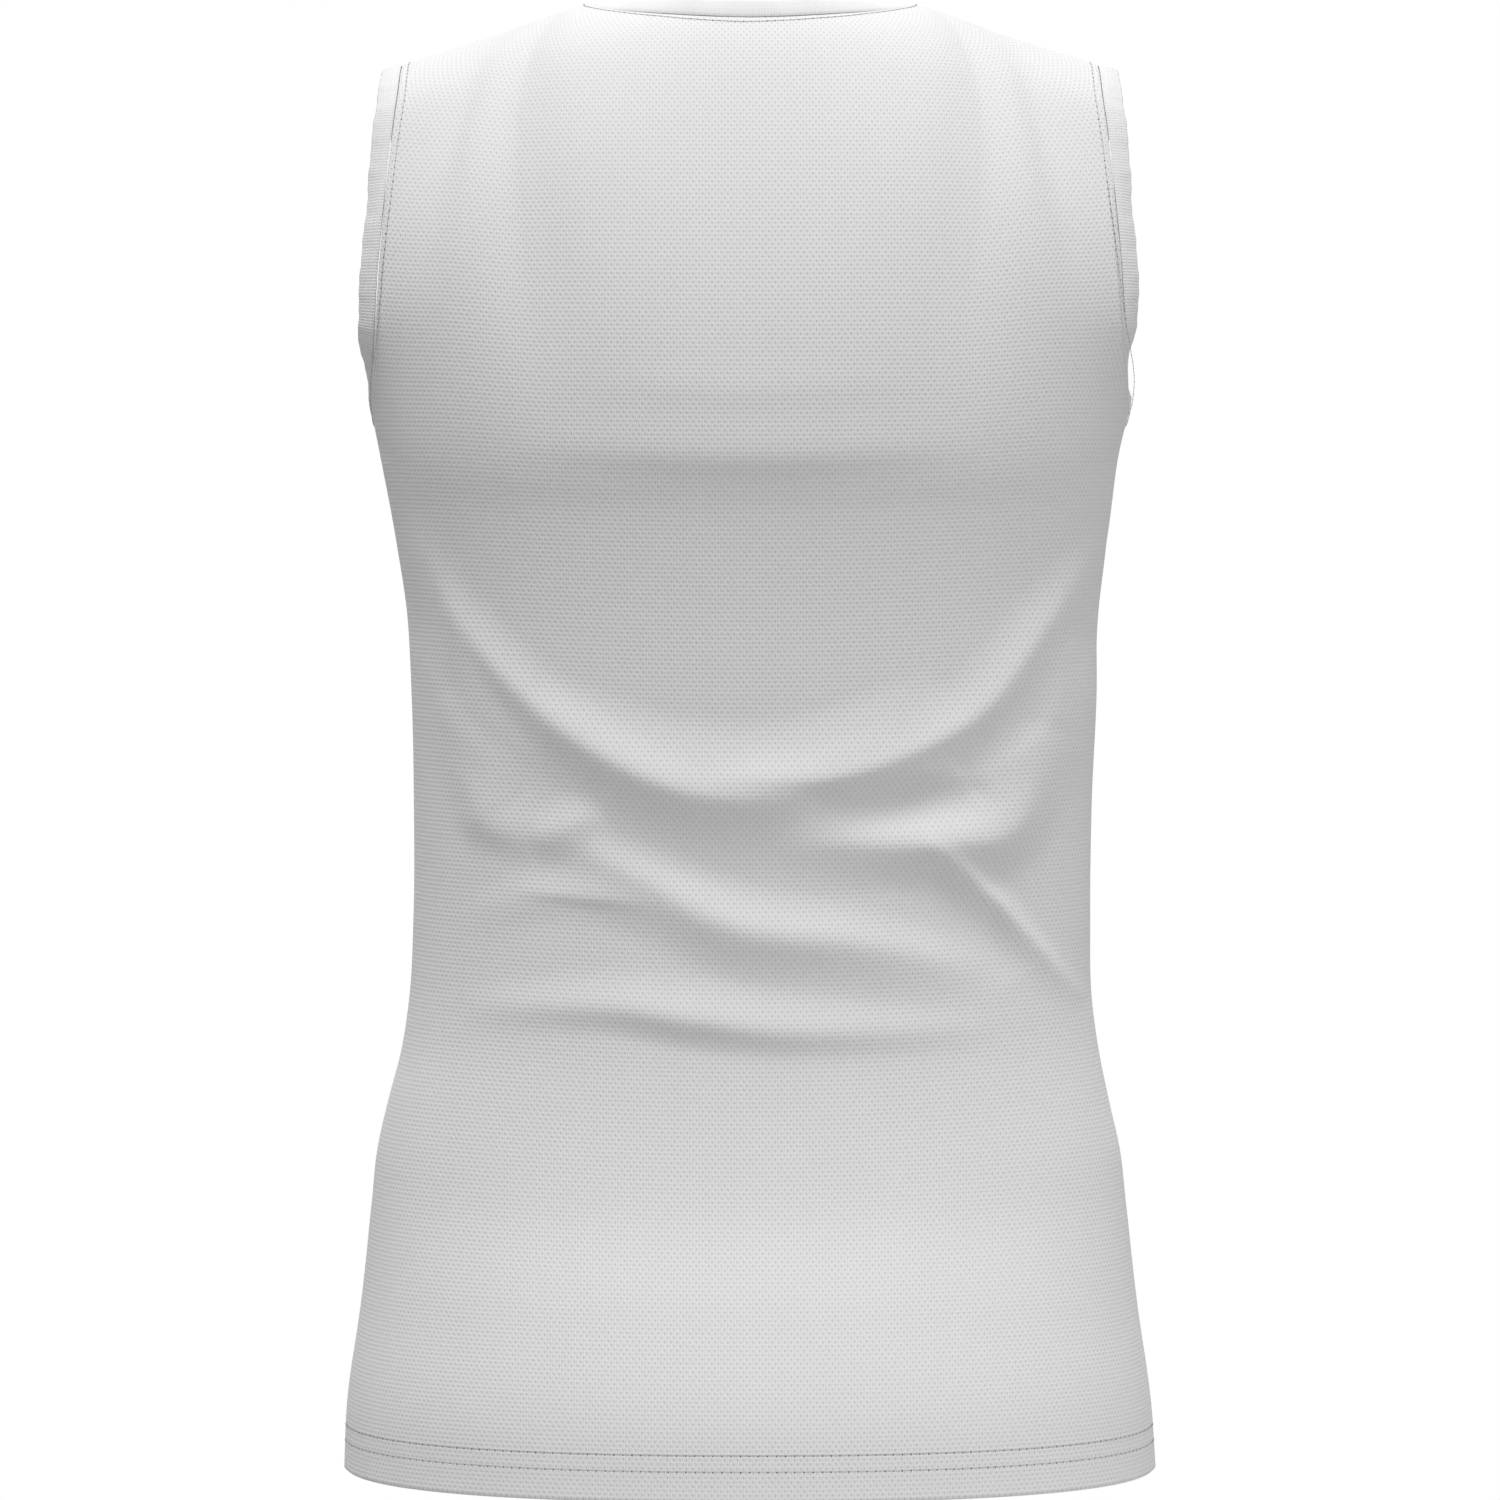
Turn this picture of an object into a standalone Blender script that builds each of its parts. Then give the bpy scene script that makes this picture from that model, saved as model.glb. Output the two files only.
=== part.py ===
"""A sleeveless knitted base layer singlet, filled out as worn.

Five cut pieces, each a thin cloth wall: back panel, front panel, neckband and two armhole bands.
Metres. +Z is up, the front faces -Y and the wearer's left is +X. The origin is midway between
the two shoulder ridges, where the garment hangs.
"""

import math
from typing import NamedTuple

import bmesh
import bpy
import numpy as np

CLOTH = 0.0012  # one layer of the mesh knit
HEM_CLOTH = 0.0022  # the hem, turned up inside and stitched down
HEM_DEPTH = 0.0190
HEM_ROWS = 2  # rows of points in the hem
HEM_LIFT = 0.0022  # how much higher the hem runs at the side seams
HEM_LIFT_REACH = 0.10  # how far up that lift carries
BAND_WIDTH = 0.0090
BAND_PROUD = 0.0004  # how far a folded band stands out of the panel's face
BAND_CLOTH = 0.0022
SEAM_GAP = 0.0003  # between two pieces that are sewn together

HEM_HEIGHT = -0.6090
HEM_TOP = HEM_HEIGHT + HEM_DEPTH
HEM_STEP = HEM_TOP + 0.0015  # the wall is single again from here up
UNDERARM_HEIGHT = -0.1610
NECK_POINT = (0.0675, -0.0060, 0.0154)  # where neckline and shoulder seam meet
BACK_NECK = (0.0, 0.0550, 0.0040)  # middle of the back neckline
FRONT_NECK = (0.0, -0.0880, -0.0715)  # middle of the front neckline
BACK_NECK_DIP = 0.8  # below 1, the back neckline stays low further round
FRONT_NECK_DIP = 1.1  # these two powers shape the front neckline between neck point and middle
FRONT_NECK_REACH = 0.85

FABRIC_WHITE = (0.80, 0.80, 0.80, 1.0)
BAND_WHITE = (0.77, 0.77, 0.77, 1.0)
FABRIC_ROUGHNESS = 0.85
SHARP_EDGE = math.radians(50)

RING_SAMPLES = 25  # points on each quarter of a section, before it is divided evenly
YOKE_SAMPLES = 40  # points on each half row of a yoke, before it is divided evenly
ARMHOLE_SAMPLES = 200
HEIGHT_STEP = 0.004  # for the slope of the body wall


class Section(NamedTuple):
    """One level section through the body of the singlet."""

    height: float
    half_width: float
    shift: float  # how much further the left side stands out than the right
    side_depth: float  # y of the widest line
    back_depth: float  # y of the middle of the back
    front_depth: float  # y of the middle of the front
    fullness: float  # 0.55 is an ellipse, and more is squarer
    seam_back: float  # how far behind the widest line the side seam runs


SECTIONS = (
    Section(-0.609, 0.1728, 0.0000, -0.004, 0.1030, -0.1060, 0.60, 0.020),
    Section(-0.579, 0.1711, 0.0004, -0.004, 0.1050, -0.1075, 0.60, 0.016),
    Section(-0.536, 0.1651, 0.0004, -0.004, 0.1045, -0.1075, 0.60, 0.006),
    Section(-0.494, 0.1605, 0.0005, -0.003, 0.0985, -0.1050, 0.60, 0.001),
    Section(-0.472, 0.1581, 0.0006, -0.003, 0.0940, -0.1030, 0.60, 0.000),
    Section(-0.451, 0.1534, 0.0006, -0.002, 0.0890, -0.1010, 0.60, 0.000),
    Section(-0.430, 0.1485, 0.0000, -0.002, 0.0850, -0.0990, 0.60, 0.000),
    Section(-0.408, 0.1453, -0.0002, -0.002, 0.0820, -0.0975, 0.60, 0.000),
    Section(-0.372, 0.1440, -0.0008, -0.002, 0.0800, -0.0965, 0.60, 0.000),
    Section(-0.323, 0.1442, -0.0012, -0.001, 0.0820, -0.1005, 0.60, 0.000),
    Section(-0.281, 0.1453, -0.0015, 0.000, 0.0870, -0.1080, 0.61, 0.000),
    Section(-0.238, 0.1474, -0.0010, 0.000, 0.0935, -0.1150, 0.62, 0.000),
    Section(-0.204, 0.1525, -0.0005, 0.000, 0.0975, -0.1175, 0.63, 0.000),
    Section(-0.174, 0.1575, 0.0003, 0.000, 0.0997, -0.1160, 0.63, 0.000),
    Section(-0.161, 0.1603, 0.0000, 0.000, 0.1000, -0.1140, 0.63, 0.000),
    Section(-0.130, 0.1640, 0.0000, 0.000, 0.0985, -0.1080, 0.63, 0.000),
)


class ArmholePoint(NamedTuple):
    """A point of the left armhole's seam; the right armhole is its mirror."""

    out: float
    depth: float
    height: float


SHOULDER_TIP = ArmholePoint(0.1480, -0.0060, -0.0100)
UNDERARM = ArmholePoint(0.1603, 0.0000, -0.1610)
BACK_ARMHOLE = (
    UNDERARM,
    ArmholePoint(0.1594, 0.0260, -0.1520),
    ArmholePoint(0.1576, 0.0430, -0.1290),
    ArmholePoint(0.1553, 0.0505, -0.0950),
    ArmholePoint(0.1521, 0.0450, -0.0580),
    ArmholePoint(0.1490, 0.0260, -0.0270),
    SHOULDER_TIP,
)
FRONT_ARMHOLE = (
    UNDERARM,
    ArmholePoint(0.1582, -0.0260, -0.1520),
    ArmholePoint(0.1535, -0.0470, -0.1310),
    ArmholePoint(0.1480, -0.0570, -0.0980),
    ArmholePoint(0.1455, -0.0510, -0.0620),
    ArmholePoint(0.1465, -0.0330, -0.0280),
    SHOULDER_TIP,
)


class Fold(NamedTuple):
    """A soft ridge across a panel, with a gentle flank above its crest and a steep one below."""

    name: str
    rise: float
    above: float  # length of the upper flank
    below: float  # length of the lower flank
    crest: tuple  # (across, height) points; across is positive on the wearer's left


BACK_FOLDS = (
    Fold("drape_left", 0.0080, 0.034, 0.015,
         ((0.132, -0.199), (0.105, -0.249), (0.067, -0.291), (0.024, -0.315))),
    Fold("drape_right", 0.0080, 0.034, 0.014,
         ((-0.131, -0.208), (-0.101, -0.259), (-0.075, -0.290), (-0.022, -0.309))),
    Fold("drape_middle", 0.0045, 0.040, 0.026,
         ((0.067, -0.292), (0.020, -0.304), (-0.020, -0.304), (-0.068, -0.292))),
    Fold("waist_right", 0.0055, 0.024, 0.014,
         ((-0.124, -0.300), (-0.104, -0.331), (-0.075, -0.341), (-0.016, -0.338))),
    Fold("waist_left", 0.0045, 0.022, 0.013,
         ((0.128, -0.287), (0.115, -0.319), (0.100, -0.333), (0.068, -0.334))),
    Fold("slant", 0.0055, 0.024, 0.018,
         ((0.074, -0.340), (0.046, -0.362), (0.004, -0.376), (-0.042, -0.383), (-0.092, -0.407))),
    Fold("low_left", 0.0030, 0.014, 0.010, ((0.106, -0.363), (0.079, -0.359), (0.042, -0.361))),
    Fold("low_across", 0.0045, 0.030, 0.014,
         ((0.112, -0.406), (0.062, -0.408), (0.025, -0.416), (-0.021, -0.421), (-0.100, -0.418))),
    Fold("hip_right", 0.0045, 0.014, 0.012,
         ((-0.076, -0.340), (-0.098, -0.360), (-0.114, -0.377), (-0.135, -0.405))),
)
FRONT_FOLDS = (
    Fold("drape_left", 0.0050, 0.036, 0.018,
         ((0.137, -0.252), (0.106, -0.308), (0.066, -0.340), (0.012, -0.352))),
    Fold("drape_right", 0.0055, 0.036, 0.018,
         ((-0.138, -0.244), (-0.110, -0.298), (-0.072, -0.331), (-0.020, -0.345))),
    Fold("waist", 0.0040, 0.032, 0.018, ((0.108, -0.381), (0.040, -0.388), (-0.112, -0.378))),
    Fold("hip_left", 0.0030, 0.026, 0.016, ((0.138, -0.402), (0.100, -0.422), (0.034, -0.430))),
)
FOLD_SAMPLES = 49
FOLD_END = 0.6  # below 1, a fold keeps its rise nearer to its ends
FOLD_NARROWING = 0.5  # how much shorter its upper flank is at its ends


class Cut(NamedTuple):
    """How one panel is cut and how finely its wall is divided."""

    faces_front: bool
    armhole: tuple
    folds: tuple
    neck_columns: int  # half of the neckline
    shoulder_columns: int
    row_levels: tuple  # (height, rows up to there from the level before)
    yoke_rows: int
    sag: float  # how much lower the row from the underarm runs at the middle
    neck_rise: float  # angles of the cloth at the top edge, above level
    shoulder_rise: float
    neck_reach: float  # how far that angle carries down the cloth
    shoulder_reach: float


BACK = Cut(
    faces_front=False, armhole=BACK_ARMHOLE, folds=BACK_FOLDS,
    neck_columns=10, shoulder_columns=8,
    row_levels=((HEM_TOP, 1), (HEM_STEP, 1), (-0.430, 8), (-0.250, 24), (UNDERARM_HEIGHT, 8)),
    yoke_rows=15, sag=0.035, neck_rise=42.0, shoulder_rise=6.0,
    neck_reach=0.135, shoulder_reach=0.135,
)
FRONT = Cut(
    faces_front=True, armhole=FRONT_ARMHOLE, folds=FRONT_FOLDS,
    neck_columns=8, shoulder_columns=8,
    row_levels=((HEM_TOP, 1), (HEM_STEP, 1), (-0.450, 8), (-0.300, 11), (UNDERARM_HEIGHT, 8)),
    yoke_rows=13, sag=0.035, neck_rise=62.0, shoulder_rise=6.0,
    neck_reach=0.080, shoulder_reach=0.100,
)
SAG_START = -0.400  # below this height the rows are level
SAG_POWER = 4.0
EDGE_FADE = 1.6  # how quickly the pull of the armhole fades towards the middle
UNDERARM_FADE = 10.0  # how much quicker it fades at the underarm
UNDERARM_FADE_POWER = 4
RELAX_STEPS = 60  # how far the corner at the neck point is rounded lower down the yoke
NECK_POINT_TURN = 45.0  # how far the cloth turns towards the neck there
CORNER_START = 0.45  # the share of the way up the yoke where that corner begins to show


# ---------------------------------------------------------------- curves


def smooth_through(knots, values, at):
    """The values at `at` on a smooth curve through the knots."""
    knots = np.asarray(knots, float)
    values = np.asarray(values, float)
    at = np.clip(np.asarray(at, float), knots[0], knots[-1])
    slopes = np.gradient(values, knots, axis=0)
    first = np.clip(np.searchsorted(knots, at) - 1, 0, len(knots) - 2)
    span = knots[first + 1] - knots[first]
    share = (at - knots[first]) / span
    if values.ndim > 1:
        span = span[..., None]
        share = share[..., None]
    return hermite(share, values[first], values[first + 1],
                   slopes[first] * span, slopes[first + 1] * span)


def hermite(share, start, end, start_slope, end_slope):
    """A cubic from start to end that leaves and arrives along the two slopes."""
    square = share * share
    cube = square * share
    return ((2 * cube - 3 * square + 1) * start + (cube - 2 * square + share) * start_slope
            + (3 * square - 2 * cube) * end + (cube - square) * end_slope)


def smoothstep(value):
    """0 below 0, 1 above 1, and an even ease between."""
    value = np.clip(value, 0.0, 1.0)
    return value * value * (3 - 2 * value)


def arc_lengths(points):
    """The distance along each polyline, where the last two axes are point and coordinate."""
    steps = np.linalg.norm(np.diff(points, axis=-2), axis=-1)
    start = np.zeros(steps.shape[:-1] + (1,))
    return np.concatenate([start, np.cumsum(steps, axis=-1)], axis=-1)


def read_along(points, shares):
    """Points at those shares of the length of one polyline."""
    lengths = arc_lengths(points)
    return np.column_stack([np.interp(shares * lengths[-1], lengths, axis) for axis in points.T])


def read_polylines(points, lengths, at):
    """One point on each polyline, at that distance along it."""
    last = lengths.shape[1] - 2
    first = np.clip((lengths <= at[:, None]).sum(axis=1) - 1, 0, last)
    line = np.arange(len(points))
    before = lengths[line, first]
    share = (at - before) / (lengths[line, first + 1] - before)
    return points[line, first] + share[:, None] * (points[line, first + 1] - points[line, first])


# ---------------------------------------------------------------- the body below the armholes


def quarter(middle, middle_handle, side_handle, side):
    """Rows of points from the middle of a section to its side, along a cubic Bezier."""
    share = np.linspace(0.0, 1.0, RING_SAMPLES)[None, :, None]
    rest = 1 - share
    return (rest**3 * middle[:, None] + 3 * rest**2 * share * middle_handle[:, None]
            + 3 * rest * share**2 * side_handle[:, None] + share**3 * side[:, None])


def on_body(heights, shares, hand, faces_front):
    """Points of the body wall: share 0 is the middle of a panel, and 1 its side seam."""
    values = smooth_through([s.height for s in SECTIONS], SECTIONS, heights)
    section = Section(*values.T)
    out = hand * (section.half_width + hand * section.shift)
    flat = np.zeros_like(out)
    side = np.stack([out, section.side_depth], axis=1)
    quarters = []
    for depth in (section.back_depth, section.front_depth):
        middle = np.stack([flat, depth], axis=1)
        middle_handle = middle + np.stack([section.fullness * out, flat], axis=1)
        reach = section.fullness * (depth - section.side_depth)
        side_handle = side + np.stack([flat, reach], axis=1)
        quarters.append(quarter(middle, middle_handle, side_handle, side))
    ring = np.concatenate([quarters[0], quarters[1][:, -2::-1]], axis=1)
    lengths = arc_lengths(ring)
    seam = lengths[:, RING_SAMPLES - 1] - section.seam_back
    if faces_front:
        at = lengths[:, -1] - shares * (lengths[:, -1] - seam)
    else:
        at = shares * seam
    flat_points = read_polylines(ring, lengths, at)
    return np.column_stack([flat_points, heights])


def row_heights(edge_height, shares, cut):
    """Heights along a row that starts at edge_height on the side seam."""
    ease = smoothstep((edge_height - SAG_START) / (UNDERARM_HEIGHT - SAG_START))
    lift = HEM_LIFT * (1 - smoothstep((edge_height - HEM_HEIGHT) / HEM_LIFT_REACH))
    return edge_height - cut.sag * ease * (1 - shares**SAG_POWER) + lift * shares**SAG_POWER


# ---------------------------------------------------------------- the yoke, from underarm to neck


def top_line(shares, neck_share, hand, faces_front):
    """The top edge of a panel: neckline up to neck_share, and shoulder seam from there."""
    neck = np.array(NECK_POINT)
    tip = np.array(SHOULDER_TIP)
    middle = np.array(FRONT_NECK if faces_front else BACK_NECK)
    turn = np.clip(shares / neck_share, 0, 1) * math.pi / 2
    forward = np.cos(turn).clip(0)
    drop = (1 - forward) ** BACK_NECK_DIP
    if faces_front:
        drop = 1 - forward**FRONT_NECK_DIP
        forward = forward**FRONT_NECK_REACH
    line = np.column_stack([
        neck[0] * np.sin(turn),
        neck[1] + (middle[1] - neck[1]) * forward,
        middle[2] + (neck[2] - middle[2]) * drop,
    ])
    along = np.clip((shares - neck_share) / (1 - neck_share), 0, 1)[:, None]
    line = np.where(along > 0, neck + (tip - neck) * along, line)
    line[:, 0] *= hand
    return line


def relaxed(line):
    """The top line with its corner at the neck point rounded off, still even about the middle."""
    line = line.copy()
    for _ in range(RELAX_STEPS):
        beside = line[1] * (-1, 1, 1)
        before = np.concatenate([[beside], line[:-2]])
        line[:-1] = (before + 2 * line[:-1] + line[1:]) / 4
    return line


def top_slopes(shares, neck_share, cut, hand):
    """How the cloth arrives at the top edge: square to the neckline, and to the shoulder seam."""
    ease = smoothstep(shares / neck_share)
    angle = np.radians(cut.neck_rise + (cut.shoulder_rise - cut.neck_rise) * ease)
    reach = cut.neck_reach + (cut.shoulder_reach - cut.neck_reach) * ease
    past_neck = (shares - neck_share) / (1 - neck_share)
    turned = np.where(past_neck < 0, shares / neck_share, 1 - smoothstep(2 * past_neck))
    turn = np.radians(NECK_POINT_TURN * turned)
    forward = 1.0 if cut.faces_front else -1.0
    return reach[:, None] * np.column_stack([
        -hand * np.sin(turn) * np.cos(angle),
        forward * np.cos(turn) * np.cos(angle),
        np.sin(angle),
    ])


def armhole_edge(cut, shares, hand):
    """Points of the armhole's seam, from the underarm to the shoulder tip, evenly spaced."""
    other = BACK_ARMHOLE if cut.faces_front else FRONT_ARMHOLE
    loop = np.array(other[2:0:-1] + cut.armhole + other[-2:-4:-1])
    knots = arc_lengths(loop)
    ends = knots[2], knots[-3]
    dense = smooth_through(knots, loop, np.linspace(*ends, ARMHOLE_SAMPLES))
    edge = read_along(dense, shares)
    edge[:, 0] *= hand
    return edge


def yoke_rows(cut, rise_shares, hand):
    """Half rows from the underarm up to the top edge, from the middle out."""
    columns = cut.neck_columns + cut.shoulder_columns
    neck_share = cut.neck_columns / columns
    shares = np.sort(np.append(np.linspace(0, 1, YOKE_SAMPLES), neck_share))
    neck_index = int(np.searchsorted(shares, neck_share))
    heights = row_heights(UNDERARM_HEIGHT, shares, cut)
    base = on_body(heights, shares, hand, cut.faces_front)
    raised = on_body(heights + HEIGHT_STEP, shares, hand, cut.faces_front)
    lowered = on_body(heights - HEIGHT_STEP, shares, hand, cut.faces_front)
    top = top_line(shares, neck_share, hand, cut.faces_front)
    low_top = relaxed(top)
    climb = (top[:, 2] - base[:, 2])[:, None]
    base_slopes = (raised - lowered) / (2 * HEIGHT_STEP) * climb
    slopes = top_slopes(shares, neck_share, cut, hand)
    edge = armhole_edge(cut, rise_shares, hand)
    rows = []
    for share, edge_point in zip(rise_shares, edge):
        corner = np.clip((share - CORNER_START) / (1 - CORNER_START), 0, 1) ** 2
        row = hermite(share, base, low_top + corner * (top - low_top), base_slopes, slopes)
        power = EDGE_FADE + UNDERARM_FADE * (1 - share) ** UNDERARM_FADE_POWER
        row = row + (shares**power)[:, None] * (edge_point - row[-1])
        lengths = arc_lengths(row)
        neck_at = lengths[neck_index]
        at = np.concatenate([
            np.linspace(0, neck_at, cut.neck_columns + 1),
            np.linspace(neck_at, lengths[-1], cut.shoulder_columns + 1)[1:],
        ])
        rows.append(np.column_stack([np.interp(at, lengths, row[:, k]) for k in range(3)]))
    return np.array(rows)


# ---------------------------------------------------------------- whole panels


def level_rows(cut):
    """Heights on the side seam of the rows from the hem to just under the underarm."""
    heights = [HEM_HEIGHT]
    for height, count in cut.row_levels:
        heights.extend(np.linspace(heights[-1], height, count + 1)[1:])
    return heights[:-1]


def half_panel(cut, hand):
    """The whole half of a panel, row by row from the hem, each from the middle out."""
    columns = cut.neck_columns + cut.shoulder_columns
    shares = np.linspace(0, 1, columns + 1)
    body = [on_body(row_heights(height, shares, cut), shares, hand, cut.faces_front)
            for height in level_rows(cut)]
    yoke = yoke_rows(cut, np.linspace(0, 1, cut.yoke_rows + 1), hand)
    return np.concatenate([np.array(body), yoke])


def grid_normals(points, faces_front):
    """Outward normals of a grid of points."""
    along_row = np.gradient(points, axis=1, edge_order=2)
    up_column = np.gradient(points, axis=0, edge_order=2)
    normals = np.cross(along_row, up_column)
    normals /= np.linalg.norm(normals, axis=2, keepdims=True)
    return -normals if faces_front else normals


def fold_height(fold, across, height):
    """How far a fold lifts the cloth at each place, seen square on."""
    share = np.linspace(0, 1, FOLD_SAMPLES)
    crest = smooth_through(np.linspace(0, 1, len(fold.crest)), fold.crest, share)
    tangent = np.gradient(crest, axis=0)
    down = np.column_stack([tangent[:, 1], -tangent[:, 0]])
    down *= -np.sign(down[:, 1:2])
    down /= np.linalg.norm(down, axis=1, keepdims=True)
    places = np.stack([across, height], axis=-1)[..., None, :]
    nearest = np.argmin(np.linalg.norm(places - crest, axis=-1), axis=-1)
    offset = ((places[..., 0, :] - crest[nearest]) * down[nearest]).sum(axis=-1)
    taper = np.sin(np.pi * share[nearest]).clip(0) ** FOLD_END
    above = fold.above * (1 - FOLD_NARROWING * (1 - taper))
    flank = np.where(offset < 0, above, fold.below)
    profile = 0.5 + 0.5 * np.cos(np.pi * np.clip(offset / flank, -1, 1))
    return fold.rise * profile * taper


def panel_points(cut):
    """The outer face of a panel, from its left edge to its right, with its folds."""
    left = half_panel(cut, 1.0)
    right = half_panel(cut, -1.0)
    points = np.concatenate([left[:, ::-1], right[:, 1:]], axis=1)
    lift = sum(fold_height(fold, points[..., 0], points[..., 2]) for fold in cut.folds)
    lift[:, [0, -1]] = 0
    return points + lift[..., None] * grid_normals(points, cut.faces_front)


def panel_normals(cut, points, other_cut, other_points):
    """A panel's normals, shared along the shoulder seams with the panel sewn on there."""
    normals = grid_normals(points, cut.faces_front)
    beside = grid_normals(other_points, other_cut.faces_front)[-1]
    for seam in (slice(0, cut.shoulder_columns + 1), slice(-cut.shoulder_columns - 1, None)):
        shared = normals[-1, seam] + beside[seam]
        normals[-1, seam] = shared / np.linalg.norm(shared, axis=1, keepdims=True)
    return normals


def part_seams(points, cut):
    """The same points with the side and shoulder seams drawn back by half a gap."""
    parted = points.copy()
    body_rows = len(points) - cut.yoke_rows
    for edge, inner in ((0, 1), (-1, -2)):
        draw_back(parted, (slice(0, body_rows), edge), (slice(0, body_rows), inner))
    shoulder = cut.shoulder_columns + 1
    for columns in (slice(0, shoulder), slice(-shoulder, None)):
        draw_back(parted, (-1, columns), (-2, columns))
    return parted


def draw_back(points, edge, inner):
    """Moves the edge points half a gap towards the inner points."""
    inward = points[inner] - points[edge]
    points[edge] += inward / np.linalg.norm(inward, axis=-1, keepdims=True) * SEAM_GAP / 2


def panel_thickness(points):
    """The wall at each point of a panel: double where the hem is turned up."""
    thickness = np.full(points.shape[:2], CLOTH)
    thickness[:HEM_ROWS] = HEM_CLOTH
    return thickness


# ---------------------------------------------------------------- meshes


def new_object(name, collection, mesh, material):
    """A smooth shaded object of a mesh, in the singlet's collection."""
    mesh.materials.append(material)
    mesh.shade_smooth()
    mesh.set_sharp_from_angle(angle=SHARP_EDGE)
    placed = bpy.data.objects.new(name, mesh)
    collection.objects.link(placed)
    return placed


def lofted_mesh(name, grids, close_rows):
    """A closed mesh of quads over a stack of rows, which are joined end to end on the last axis.

    grids is an array (row, point, coordinate) whose points run round a closed loop. With
    close_rows the last row joins the first, and otherwise the first and last rows are capped.
    """
    rows, loop = grids.shape[:2]
    shape = bmesh.new()
    verts = [[shape.verts.new(point) for point in row] for row in grids]
    for row in range(rows if close_rows else rows - 1):
        below = verts[row]
        above = verts[(row + 1) % rows]
        for point in range(loop):
            beside = (point + 1) % loop
            shape.faces.new((below[point], below[beside], above[beside], above[point]))
    if not close_rows:
        half = loop // 2
        for row, turned in ((0, True), (rows - 1, False)):
            ends = verts[row]
            for point in range(half - 1):
                cap = (ends[point], ends[point + 1], ends[loop - 2 - point], ends[loop - 1 - point])
                shape.faces.new(cap[::-1] if turned else cap)
    mesh = bpy.data.meshes.new(name)
    shape.to_mesh(mesh)
    shape.free()
    return mesh


def cloth_wall(name, cut, points, normals):
    """A panel's wall: each row runs across the outer face and back across the inner one."""
    outer = part_seams(points, cut)
    inner = outer - normals * panel_thickness(points)[..., None]
    loops = np.concatenate([outer, inner[:, ::-1]], axis=1)
    if cut.faces_front:
        loops = loops[:, ::-1]
    return lofted_mesh(name, loops, close_rows=False)


def band_mesh(name, seam, normals, inside):
    """A folded band all round an opening, from its seam line towards the open middle.

    inside is a rough direction into the opening at each point, which tells the band's side.
    """
    tangents = np.roll(seam, -1, axis=0) - np.roll(seam, 1, axis=0)
    reach = np.cross(tangents, normals)
    reach *= np.sign((reach * inside).sum())
    reach /= np.linalg.norm(reach, axis=1, keepdims=True)
    low = BAND_PROUD - BAND_CLOTH
    middle = (BAND_PROUD + low) / 2
    shoulder = BAND_WIDTH - BAND_CLOTH / 3
    profile = (
        (SEAM_GAP, BAND_PROUD),
        (shoulder, BAND_PROUD),
        (BAND_WIDTH, middle),
        (shoulder, low),
        (2 * SEAM_GAP, low),
    )
    rows = np.stack([seam + along * reach + up * normals for along, up in profile], axis=1)
    mesh = lofted_mesh(name, rows, close_rows=True)
    shape = bmesh.new()
    shape.from_mesh(mesh)
    bmesh.ops.recalc_face_normals(shape, faces=shape.faces)
    shape.to_mesh(mesh)
    shape.free()
    return mesh


def joined_edges(back, front):
    """A closed run of points from the end of one panel's edge to the other's."""
    return np.concatenate([back[:-1], front[::-1][:-1]])


def armhole_band(name, faces, column):
    """The band round one armhole, made from the two panels' armhole edges."""
    runs = []
    for cut, points, normals in faces:
        start = len(points) - cut.yoke_rows - 1
        runs.append((points[start:, column], normals[start:, column]))
    seam = joined_edges(runs[0][0], runs[1][0])
    normals = joined_edges(runs[0][1], runs[1][1])
    inside = seam.mean(axis=0) - seam
    inside[:, 0] = 0
    return band_mesh(name, seam, normals, inside)


def neckband(name, faces):
    """The band round the neck, made from the two panels' necklines."""
    runs = []
    for cut, points, normals in faces:
        edge = slice(cut.shoulder_columns, -cut.shoulder_columns)
        runs.append((points[-1, edge], normals[-1, edge]))
    seam = joined_edges(runs[0][0], runs[1][0])
    normals = joined_edges(runs[0][1], runs[1][1])
    inside = seam.mean(axis=0) - seam
    return band_mesh(name, seam, normals, inside)


def cloth_material(name, colour):
    """A plain matt cloth."""
    material = bpy.data.materials.new(name)
    material.use_nodes = True
    shader = material.node_tree.nodes["Principled BSDF"]
    shader.inputs["Base Color"].default_value = colour
    shader.inputs["Roughness"].default_value = FABRIC_ROUGHNESS
    shader.inputs["Metallic"].default_value = 0.0
    return material


def main():
    """Clears the scene and builds the singlet's five pieces."""
    for old in list(bpy.data.objects):
        bpy.data.objects.remove(old)
    singlet = bpy.data.collections.new("base_layer_singlet")
    bpy.context.scene.collection.children.link(singlet)
    back = panel_points(BACK)
    front = panel_points(FRONT)
    faces = (
        (BACK, back, panel_normals(BACK, back, FRONT, front)),
        (FRONT, front, panel_normals(FRONT, front, BACK, back)),
    )
    pieces = (
        ("back_panel", cloth_wall("back_panel", *faces[0]), FABRIC_WHITE),
        ("front_panel", cloth_wall("front_panel", *faces[1]), FABRIC_WHITE),
        ("neckband", neckband("neckband", faces), BAND_WHITE),
        ("armhole_band_left", armhole_band("armhole_band_left", faces, 0), BAND_WHITE),
        ("armhole_band_right", armhole_band("armhole_band_right", faces, -1), BAND_WHITE),
    )
    for name, mesh, colour in pieces:
        new_object(name, singlet, mesh, cloth_material(name + "_cloth", colour))


main()
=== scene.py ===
"""The looks of a sleeveless base layer singlet, filled out as worn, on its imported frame.

Metres. +Z is up, the front faces -Y and the wearer's left is +X. The panels and the armholes follow
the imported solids, except that the back is fuller at the seat, closer at the waist and more finely
folded, as the photo's shading shows. They are thin knitted cloth, with folded bindings and rows of
real stitches.
"""

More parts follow.
